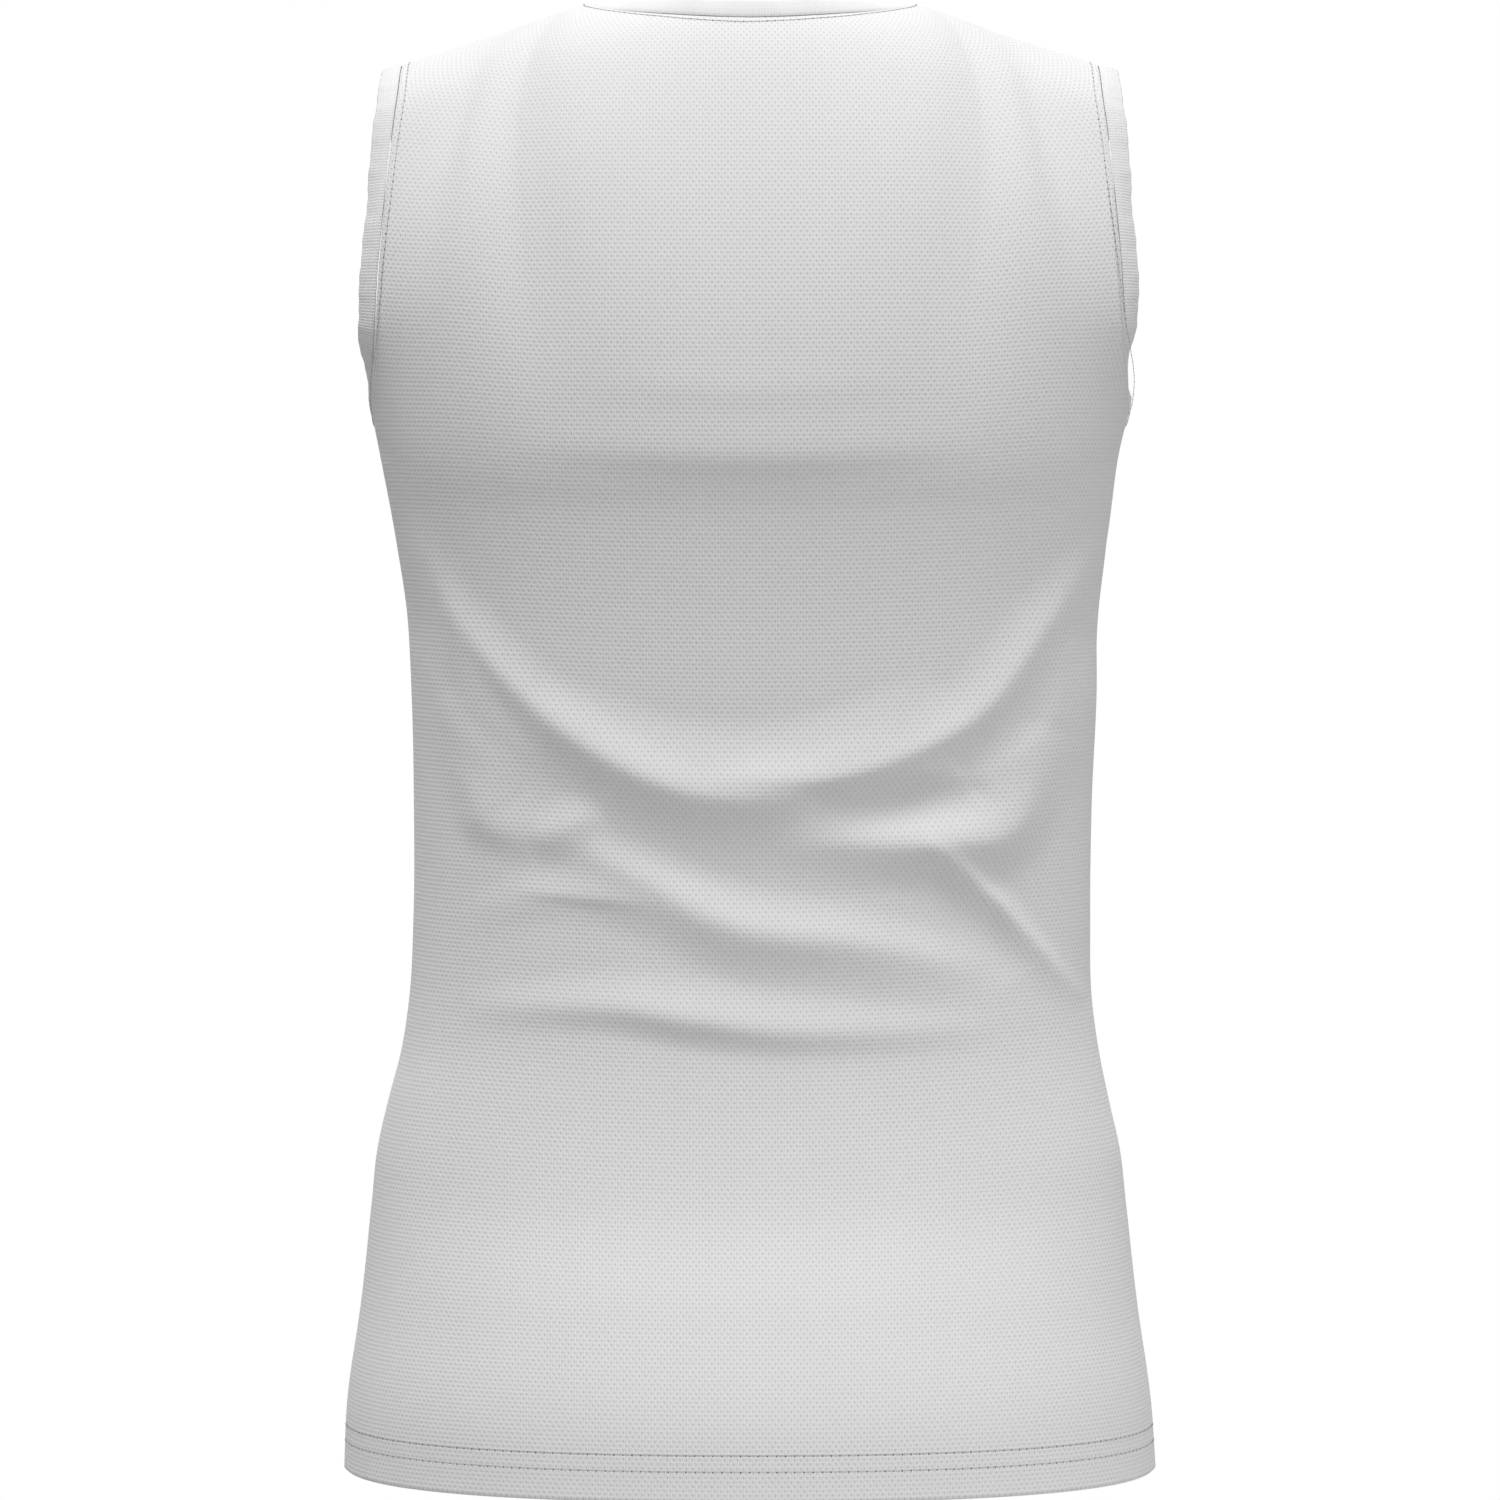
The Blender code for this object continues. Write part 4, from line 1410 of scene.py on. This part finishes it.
@dataclass(frozen=True)
class MeshKnit:
    """The white mesh knit of the two panels."""

    base: tuple = (0.80, 0.80, 0.80)
    wale: float = 0.0026
    course: float = 0.0018
    hole_width: float = 0.00034
    hole_height: float = 0.00078
    knit_hole_shade: float = 0.17  # painted shade seen through a hole: how much darker it reads
    relief: float = 0.00022
    relief_strength: float = 0.7
    groove_shade: float = 0.05  # painted shade in a row's groove: how much darker it reads
    groove_relief: float = 1.2  # how deep it is, as a share of the relief
    tone: float = 0.03

    def build(self, groups: ShaderGroups) -> bpy.types.Material:
        """Wires the material.

        Args:
            groups: the shared effects.

        Returns:
            The material.
        """
        surface = Surface("mesh_knit", groups)
        wiring = surface.wiring
        uv = wiring.add("ShaderNodeUVMap", uv_map=UV_LAYER).outputs["UV"]
        knit = surface.effect(groups.knit_holes, Place=uv, Wale=self.wale, Course=self.course,
                              Hole_Width=self.hole_width, Hole_Height=self.hole_height)
        tone = surface.effect(groups.cloth_tone, Place=surface.place.outputs["Object"], Amount=self.tone)
        split = wiring.add("ShaderNodeSeparateXYZ")
        wiring.feed(split.inputs[0], uv)
        places = [(split.outputs["Y"], row) for row in HEM_ROWS]
        places.append((surface.attribute(EDGE_LAYER), EDGE_ROW))
        lines = [surface.effect(groups.sewn_line, Distance=distance, Place=place).outputs["Line"]
                 for distance, place in places]
        groove = lines[0]
        for line in lines[1:]:
            groove = wiring.math("MAXIMUM", groove, line)
        # the knit's holes are painted darker, as the shade seen through them
        knit_hole_shading = wiring.math("MULTIPLY_ADD", knit.outputs["Hole"], -self.knit_hole_shade, 1.0)
        # the stitch rows' grooves are painted darker, as the shade in them
        groove_shading = wiring.math("MULTIPLY_ADD", groove, -self.groove_shade, 1.0)
        surface.colour(self.base, [knit_hole_shading, groove_shading, tone.outputs["Tone"]])
        height = wiring.math("MULTIPLY_ADD", groove, -self.groove_relief, knit.outputs["Height"])
        surface.relief(height, self.relief, self.relief_strength)
        return surface.plain(Roughness=0.88, Sheen_Weight=0.12, Sheen_Roughness=0.5,
                             Specular_IOR_Level=0.25)


@dataclass(frozen=True)
class BindingKnit:
    """The closer white knit of the bindings, with fine raised lines across the strip and painted shade
    between them.
    """

    base: tuple = (0.81, 0.81, 0.81)
    line: float = 0.0013
    # how much darker the valleys between the lines are painted: painted shade
    rib_valley_shade: float = 0.05
    line_relief: float = 0.5  # how high a line is, as a share of the relief
    hole_width: float = 0.0002
    hole_height: float = 0.0004
    rib: float = 0.1
    relief: float = 0.00015
    relief_strength: float = 0.6
    tone: float = 0.03

    def build(self, groups: ShaderGroups) -> bpy.types.Material:
        """Wires the material.

        Args:
            groups: the shared effects.

        Returns:
            The material.
        """
        surface = Surface("binding_knit", groups)
        wiring = surface.wiring
        uv = wiring.add("ShaderNodeUVMap", uv_map=UV_LAYER).outputs["UV"]
        knit = surface.effect(groups.knit_holes, Place=uv, Wale=self.line, Course=self.line,
                              Hole_Width=self.hole_width, Hole_Height=self.hole_height, Rib=self.rib)
        tone = surface.effect(groups.cloth_tone, Place=surface.place.outputs["Object"], Amount=self.tone)
        split = wiring.add("ShaderNodeSeparateXYZ")
        wiring.feed(split.inputs[0], uv)
        turn = wiring.math("MULTIPLY", split.outputs["X"], 2 * math.pi / self.line)
        ridge = wiring.math("COSINE", turn)
        # darker between the raised lines: painted shade of the valleys
        lines = wiring.math("MULTIPLY_ADD", ridge, self.rib_valley_shade / 2, 1 - self.rib_valley_shade / 2)
        surface.colour(self.base, [lines, tone.outputs["Tone"]])
        height = wiring.math("MULTIPLY_ADD", ridge, self.line_relief, knit.outputs["Height"])
        surface.relief(height, self.relief, self.relief_strength)
        return surface.plain(Roughness=0.86, Sheen_Weight=0.12, Sheen_Roughness=0.5,
                             Specular_IOR_Level=0.25)


@dataclass(frozen=True)
class Thread:
    """White sewing thread, painted grey as the shade of the groove it lies in, and the holes that it goes
    into painted dark as their shade.
    """

    # grey, not white: painted shade of the groove that the thread lies in
    base: tuple = (0.57, 0.57, 0.57)
    # how dark the needle holes are painted: painted shade of the holes
    needle_hole_shade: float = 0.78
    tone: float = 0.06

    def build(self, groups: ShaderGroups) -> bpy.types.Material:
        """Wires the material.

        Args:
            groups: the shared effects.

        Returns:
            The material.
        """
        surface = Surface("thread", groups)
        # the needle-hole lumps are painted dark, as the holes' shade
        hole = surface.attribute(HOLE_SHADE_LAYER)
        dark = surface.wiring.math("MULTIPLY_ADD", hole, -self.needle_hole_shade, 1.0)
        tone = surface.effect(groups.cloth_tone, Place=surface.place.outputs["Object"], Amount=self.tone)
        surface.colour(self.base, [dark, tone.outputs["Tone"]])
        return surface.plain(Roughness=0.6, Sheen_Weight=0.1, Specular_IOR_Level=0.3)


# ---------------------------------------------------------------- stitches


class Stitch(NamedTuple):
    """The measures of one kind of stitch."""

    pitch: float
    length: float
    thread: float  # the thread's width
    hole: float  # the width of the hole that it goes into, a lump painted dark as its shade


HEM_STITCH = Stitch(pitch=0.0037, length=0.0030, thread=0.00036, hole=0.00075)
EDGE_STITCH = Stitch(pitch=0.0033, length=0.0026, thread=0.00034, hole=0.0007)


class StitchTree:
    """The Geometry Nodes tree that lays stitches along a line on the cloth."""

    INPUTS = (
        ("Geometry", "NodeSocketGeometry", None),
        ("Pitch", "NodeSocketFloat", 0.0035),
        ("Stitch Length", "NodeSocketFloat", 0.0028),
        ("Thread Width", "NodeSocketFloat", 0.0004),
        ("Hole Width", "NodeSocketFloat", 0.0007),
        ("Seed", "NodeSocketInt", 3),
        ("Finish", "NodeSocketMaterial", None),
    )
    SEGMENTS = 8
    RINGS = 5
    SMALLEST = (0.92, 0.85, 0.85)  # the random scale of a stitch: length, width and thickness
    LARGEST = (1.06, 1.15, 1.15)

    def __init__(self) -> None:
        """Builds the tree."""
        made = new_group("stitch_row", "GeometryNodeTree", self.INPUTS,
                         (("Geometry", "NodeSocketGeometry"),))
        self.tree, self.wiring, self.given, self.result = made
        placed = self.lay(self.stitch_unit())
        realized = self.wiring.add("GeometryNodeRealizeInstances")
        self.wiring.feed(realized.inputs["Geometry"], placed)
        finished = self.wiring.add("GeometryNodeSetMaterial")
        self.wiring.feed(finished.inputs["Geometry"], realized.outputs["Geometry"])
        self.wiring.feed(finished.inputs["Material"], self.given.outputs["Finish"])
        self.wiring.feed(self.result.inputs["Geometry"], finished.outputs["Geometry"])

    def lump(self, length: object, width: object, thickness: object, shift: object, hole: float) -> object:
        """Makes one flattened ball, marked as thread or as a hole, which is painted dark as the hole's
        shade.

        Args:
            length: its length along the row.
            width: its width across it.
            thickness: its thickness out of the cloth.
            shift: how far it lies along the row.
            hole: 1 for a hole painted dark as its shade, 0 for thread.

        Returns:
            Its geometry socket.
        """
        wiring = self.wiring
        ball = wiring.add("GeometryNodeMeshUVSphere")
        ball.inputs["Segments"].default_value = self.SEGMENTS
        ball.inputs["Rings"].default_value = self.RINGS
        ball.inputs["Radius"].default_value = 0.5
        size = wiring.add("ShaderNodeCombineXYZ")
        for socket, value in zip(size.inputs, (length, width, thickness)):
            wiring.feed(socket, value)
        place = wiring.add("ShaderNodeCombineXYZ")
        wiring.feed(place.inputs["X"], shift)
        shaped = wiring.add("GeometryNodeTransform")
        wiring.feed(shaped.inputs["Geometry"], ball.outputs["Mesh"])
        wiring.feed(shaped.inputs["Scale"], size.outputs[0])
        wiring.feed(shaped.inputs["Translation"], place.outputs[0])
        # marks a hole lump, which the thread's finish paints dark as the hole's shade
        marked = wiring.add("GeometryNodeStoreNamedAttribute", data_type="FLOAT", domain="POINT")
        wiring.feed(marked.inputs["Geometry"], shaped.outputs["Geometry"])
        marked.inputs["Name"].default_value = HOLE_SHADE_LAYER
        marked.inputs["Value"].default_value = hole
        return marked.outputs["Geometry"]

    def stitch_unit(self) -> object:
        """Joins one stitch of thread and the hole beside it, a dark lump of painted shade.

        Returns:
            Their geometry socket.
        """
        wiring = self.wiring
        thread = self.lump(self.given.outputs["Stitch Length"], self.given.outputs["Thread Width"],
                           self.given.outputs["Thread Width"], 0.0, 0.0)
        half = wiring.math("MULTIPLY", self.given.outputs["Pitch"], 0.5)
        flat = wiring.math("MULTIPLY", self.given.outputs["Hole Width"], 0.5)
        hole = self.lump(self.given.outputs["Hole Width"], self.given.outputs["Hole Width"], flat,
                         half, 1.0)
        joined = wiring.add("GeometryNodeJoinGeometry")
        wiring.tree.links.new(thread, joined.inputs[0])
        wiring.tree.links.new(hole, joined.inputs[0])
        return joined.outputs["Geometry"]

    def lay(self, unit_geometry: object) -> object:
        """Places the units along the line, facing out of the cloth.

        Args:
            unit_geometry: one stitch and its hole.

        Returns:
            The instances.
        """
        wiring = self.wiring
        curve = wiring.add("GeometryNodeMeshToCurve")
        wiring.feed(curve.inputs["Mesh"], self.given.outputs["Geometry"])
        spaced = wiring.add("GeometryNodeResampleCurve", mode="LENGTH")
        wiring.feed(spaced.inputs["Curve"], curve.outputs["Curve"])
        wiring.feed(spaced.inputs["Length"], self.given.outputs["Pitch"])
        tangent = wiring.add("GeometryNodeInputTangent")
        along = wiring.add("FunctionNodeAlignRotationToVector", axis="X")
        wiring.feed(along.inputs["Vector"], tangent.outputs["Tangent"])
        normal = wiring.add("GeometryNodeInputNamedAttribute", data_type="FLOAT_VECTOR")
        normal.inputs["Name"].default_value = NORMAL_LAYER
        facing = wiring.add("FunctionNodeAlignRotationToVector", axis="Z", pivot_axis="X")
        wiring.feed(facing.inputs["Rotation"], along.outputs["Rotation"])
        wiring.feed(facing.inputs["Vector"], normal.outputs["Attribute"])
        size = wiring.add("FunctionNodeRandomValue", data_type="FLOAT_VECTOR")
        size.inputs["Min"].default_value = self.SMALLEST
        size.inputs["Max"].default_value = self.LARGEST
        wiring.feed(size.inputs["Seed"], self.given.outputs["Seed"])
        placed = wiring.add("GeometryNodeInstanceOnPoints")
        wiring.feed(placed.inputs["Points"], spaced.outputs["Curve"])
        wiring.feed(placed.inputs["Instance"], unit_geometry)
        wiring.feed(placed.inputs["Rotation"], facing.outputs["Rotation"])
        wiring.feed(placed.inputs["Scale"], size.outputs["Value"])
        return placed.outputs["Instances"]

    def identifier(self, name: str) -> str:
        """Looks up an input of the tree.

        Args:
            name: the input's name.

        Returns:
            Its identifier.
        """
        for item in self.tree.interface.items_tree:
            if item.name == name and item.in_out == "INPUT":
                return item.identifier
        raise KeyError(name)


@dataclass
class StitchRow:
    """Rows of stitches that make one piece."""

    name: str
    slot: str
    stitch: Stitch
    seed: int

    def line_mesh(self, lines: list) -> bpy.types.Mesh:
        """Makes the guide lines.

        Args:
            lines: (points, normals, closed) for each row.

        Returns:
            A mesh of edges that carries the cloth's normals.
        """
        mesh = bpy.data.meshes.new(self.name + "_guide")
        points = np.concatenate([line[0] for line in lines])
        edges = []
        start = 0
        for row, _, closed in lines:
            number = np.arange(start, start + len(row))
            edges += np.column_stack([number[:-1], number[1:]]).tolist()
            if closed:
                edges.append([int(number[-1]), int(number[0])])
            start += len(row)
        mesh.from_pydata(points.tolist(), edges, [])
        layer = mesh.attributes.new(NORMAL_LAYER, "FLOAT_VECTOR", "POINT")
        normals = np.concatenate([line[1] for line in lines]).astype(np.float32)
        layer.data.foreach_set("vector", normals.ravel())
        return mesh

    def build(self, lines: list, tree: StitchTree, finish: bpy.types.Material) -> bpy.types.Object:
        """Sews the rows.

        Args:
            lines: (points, normals, closed) for each row.
            tree: the Geometry Nodes tree.
            finish: the thread.

        Returns:
            The new piece, a plain mesh.
        """
        guide = new_piece(self.name + "_guide", self.line_mesh(lines))
        modifier = guide.modifiers.new("stitches", "NODES")
        modifier.node_group = tree.tree
        for name, value in (("Pitch", self.stitch.pitch), ("Stitch Length", self.stitch.length),
                            ("Thread Width", self.stitch.thread), ("Hole Width", self.stitch.hole),
                            ("Seed", self.seed), ("Finish", finish)):
            modifier[tree.identifier(name)] = value
        bpy.context.view_layer.update()
        shown = guide.evaluated_get(bpy.context.evaluated_depsgraph_get())
        mesh = bpy.data.meshes.new_from_object(shown)
        guide.modifiers.remove(modifier)
        bpy.data.objects.remove(guide)
        mesh.shade_smooth()
        return new_piece(self.name, mesh)

    def dress(self, piece: bpy.types.Object) -> None:
        """Makes the rows ride with the singlet."""
        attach(piece, BODY)


# ---------------------------------------------------------------- studio


@dataclass(frozen=True)
class Lamp:
    """A soft rectangular light."""

    name: str
    place: tuple
    width: float
    height: float
    power: float


@dataclass(frozen=True)
class Studio:
    """A pale plain floor, soft light from above and the photo's camera."""

    centre: tuple = (0.0, 0.0, -0.302)
    camera_distance: float = 2.8
    half_frame: float = 0.3191  # what the camera sees each way from the middle, at the origin's depth
    floor_height: float = -1.35
    floor_half: float = 0.8
    floor_tone: tuple = (0.80, 0.80, 0.80, 1.0)
    sky: float = 0.86  # how bright the dome is just above the horizon
    zenith: float = 0.5  # the share of that straight above
    ground: float = 0.10
    horizon: float = 0.1  # how far above and below level the dome fades to the ground
    dimming_start: float = 0.2  # how far above level it starts to dim
    lamps: tuple = (
        Lamp("key", (0.50, 2.40, 5.20), 2.0, 2.0, 200.0),
        Lamp("low_fill", (-1.87, 1.37, -1.17), 1.0, 1.0, 8.0),
        Lamp("front_fill", (-0.30, -2.80, 4.60), 2.0, 2.0, 60.0),
    )

    def build(self) -> None:
        """Builds the floor, the lights and the camera."""
        self.build_floor()
        self.build_dome()
        for lamp in self.lamps:
            self.build_lamp(lamp)
        self.build_camera()

    def build_floor(self) -> None:
        """Lays a plain floor as far below as a wearer's feet would be."""
        half = self.floor_half
        mesh = bpy.data.meshes.new("floor")
        corners = [(-half, -half), (half, -half), (half, half), (-half, half)]
        mesh.from_pydata([(x, y, self.floor_height) for x, y in corners], [], [(0, 1, 2, 3)])
        material = bpy.data.materials.new("floor")
        material.use_nodes = True
        shader = material.node_tree.nodes["Principled BSDF"]
        shader.inputs["Base Color"].default_value = self.floor_tone
        shader.inputs["Roughness"].default_value = 0.9
        mesh.materials.append(material)
        new_piece("floor", mesh)

    def build_dome(self) -> None:
        """Lights the scene from all round, more from above, behind a white that only the camera sees."""
        world = bpy.data.worlds.new("studio")
        world.use_nodes = True
        wiring = Wiring(world.node_tree)
        wiring.tree.nodes.clear()
        rays = wiring.add("ShaderNodeLightPath")
        direction = wiring.add("ShaderNodeSeparateXYZ")
        wiring.feed(direction.inputs[0], wiring.add("ShaderNodeTexCoord").outputs["Generated"])
        height = direction.outputs["Z"]
        above = wiring.ramp(height, self.dimming_start, 1.0, self.sky, self.sky * self.zenith)
        dome = wiring.ramp(height, -self.horizon, self.horizon, self.ground, above)
        strength = wiring.math("MAXIMUM", rays.outputs["Is Camera Ray"], dome)
        background = wiring.add("ShaderNodeBackground")
        background.inputs["Color"].default_value = (1.0, 1.0, 1.0, 1.0)
        wiring.feed(background.inputs["Strength"], strength)
        output = wiring.add("ShaderNodeOutputWorld")
        wiring.feed(output.inputs["Surface"], background.outputs["Background"])
        bpy.context.scene.world = world
        bpy.context.scene.view_settings.view_transform = "Standard"

    def build_lamp(self, lamp: Lamp) -> None:
        """Hangs one light, turned to the middle of the singlet.

        Args:
            lamp: the light.
        """
        light = bpy.data.lights.new(lamp.name, "AREA")
        light.shape = "RECTANGLE"
        light.size = lamp.width
        light.size_y = lamp.height
        light.energy = lamp.power
        holder = bpy.data.objects.new(lamp.name, light)
        holder.location = lamp.place
        away = Vector(lamp.place) - Vector(self.centre)
        holder.rotation_euler = away.to_track_quat("Z", "Y").to_euler()
        bpy.context.scene.collection.objects.link(holder)

    def build_camera(self) -> None:
        """Places the camera behind the singlet, level with its middle."""
        lens = bpy.data.cameras.new("camera")
        lens.sensor_width = 36.0
        lens.lens = lens.sensor_width / 2 * self.camera_distance / self.half_frame
        camera = bpy.data.objects.new("camera", lens)
        camera.location = Vector(self.centre) + Vector((0.0, self.camera_distance, 0.0))
        camera.rotation_euler = (math.radians(90), 0.0, math.radians(180))
        bpy.context.scene.collection.objects.link(camera)
        bpy.context.scene.camera = camera


# ---------------------------------------------------------------- the whole singlet


@dataclass(frozen=True)
class Finishes:
    """The materials of the singlet."""

    panel: bpy.types.Material
    binding: bpy.types.Material
    thread: bpy.types.Material

    @classmethod
    def build(cls) -> "Finishes":
        """Builds each finish on the shared effects."""
        groups = ShaderGroups.build()
        return cls(MeshKnit().build(groups), BindingKnit().build(groups), Thread().build(groups))


@dataclass
class Singlet:
    """All the pieces of the singlet and how they are sewn together."""

    back: Panel
    front: Panel
    neckband: Binding
    armhole_left: Binding
    armhole_right: Binding
    seam_spacing: float = 0.0012
    normal_smoothing: int = 16
    neck_stand: float = 0.45  # how upright the neckband stands at the back
    flare: float = 0.8  # how far the armhole bindings turn outwards low at the back
    flare_heights: tuple = (-0.070, -0.105, -0.130, -0.172)  # where that starts, is whole, and ends
    flare_depth: float = 0.03  # how far behind the underarm that is whole
    topstitch_wobble: float = 0.00012
    stitch_sink: float = 0.00005

    def build(self, finishes: Finishes) -> None:
        """Builds and dresses every piece.

        Args:
            finishes: the materials.
        """
        for panel in (self.back, self.front):
            piece = panel.build()
            panel.dress(piece, finishes.panel)
            report(piece)
        seams = self.seams()
        bindings = (self.neckband, self.armhole_left, self.armhole_right)
        for binding, seam in zip(bindings, self.settled(seams)):
            piece = binding.build(seam)
            binding.dress(piece, finishes.binding)
            report(piece)
        self.sew(seams, finishes.thread)

    def seams(self) -> list:
        """Finds the bound seams on the two panels.

        Returns:
            The seams of the neck, the left armhole and the right armhole.
        """
        panels = (self.back, self.front)
        neck = seam_round([panel.neck_run() for panel in panels], self.seam_spacing, (1, 1, 1),
                          self.normal_smoothing)
        armholes = [seam_round([panel.armhole_run(column) for panel in panels], self.seam_spacing,
                               (0, 1, 1), self.normal_smoothing) for column in (0, -1)]
        return [neck, *armholes]

    def settled(self, seams: list) -> list:
        """Turns the bindings as they lie on the back: the neckband upright, the armholes' outwards.

        Args:
            seams: the three bound seams.

        Returns:
            The seams for the bindings.
        """
        neck, *armholes = seams
        back = smoothstep(neck.points[:, 1] / neck.points[:, 1].max())[:, None]
        lying = [neck.turned(self.neck_stand * back * (0.0, 0.0, 1.0))]
        start, whole, hold, end = self.flare_heights
        for seam in armholes:
            across, depth, height = seam.points.T
            flare = smoothstep((start - height) / (start - whole)) * smoothstep(depth / self.flare_depth)
            flare *= 1 - smoothstep((hold - height) / (hold - end))
            lying.append(seam.turned((self.flare * flare * np.sign(across))[:, None] * (1.0, 0.0, 0.0)))
        return lying

    def sew(self, seams: list, thread: bpy.types.Material) -> None:
        """Sews the hems and the rows beside the bindings.

        Args:
            seams: the three bound seams.
            thread: the thread's material.
        """
        tree = StitchTree()
        hems = StitchRow("hem_stitches", PANEL_SLOT, HEM_STITCH, 5)
        lines = []
        for panel in (self.back, self.front):
            for up in HEM_ROWS:
                points, normals = panel.hem_line(up)
                lines.append((points - normals * self.stitch_sink, normals, False))
        rows = [(hems, lines)]
        for name, seam, seed in zip(("neck", "armhole_left", "armhole_right"), seams, (7, 11, 13)):
            row = StitchRow(name + "_stitches", BINDING_SLOT, EDGE_STITCH, seed)
            points = seam.offset(-EDGE_ROW, -self.stitch_sink, self.topstitch_wobble)
            rows.append((row, [(points, seam.normals, True)]))
        for row, guides in rows:
            piece = row.build(guides, tree, thread)
            row.dress(piece)
            report(piece)


def report(piece: bpy.types.Object) -> None:
    """Logs a piece's name, its faces and its box in millimetres."""
    size = [round(1000 * side) for side in piece.dimensions]
    LOG.info("%s: %d faces, %s mm", piece.name, len(piece.data.polygons), size)


def main() -> None:
    """Builds the studio and the singlet, and reports each piece."""
    logging.basicConfig(level=logging.INFO, format="%(name)s: %(message)s")
    Studio().build()
    singlet = Singlet(
        back=Panel(
            side=Side.BACK, node="back_panel", flat_size=(0.47, 0.66), flat_area=0.252,
            neck_columns=34, shoulder_columns=52, yoke_rows=56,
            level_runs=((-0.580, 12), (-0.430, 40), (-0.200, 105), (UNDERARM.height, 12)),
        ),
        front=Panel(
            side=Side.FRONT, node="front_panel", flat_size=(0.47, 0.64), flat_area=0.250,
            neck_columns=24, shoulder_columns=32, yoke_rows=44,
            level_runs=((-0.580, 10), (-0.450, 26), (-0.240, 70), (UNDERARM.height, 20)),
        ),
        neckband=Binding("neckband_knit", "neckband"),
        armhole_left=Binding("armhole_band_left_knit", "armhole_band_left"),
        armhole_right=Binding("armhole_band_right_knit", "armhole_band_right"),
    )
    singlet.build(Finishes.build())


if __name__ == "__main__":
    main()
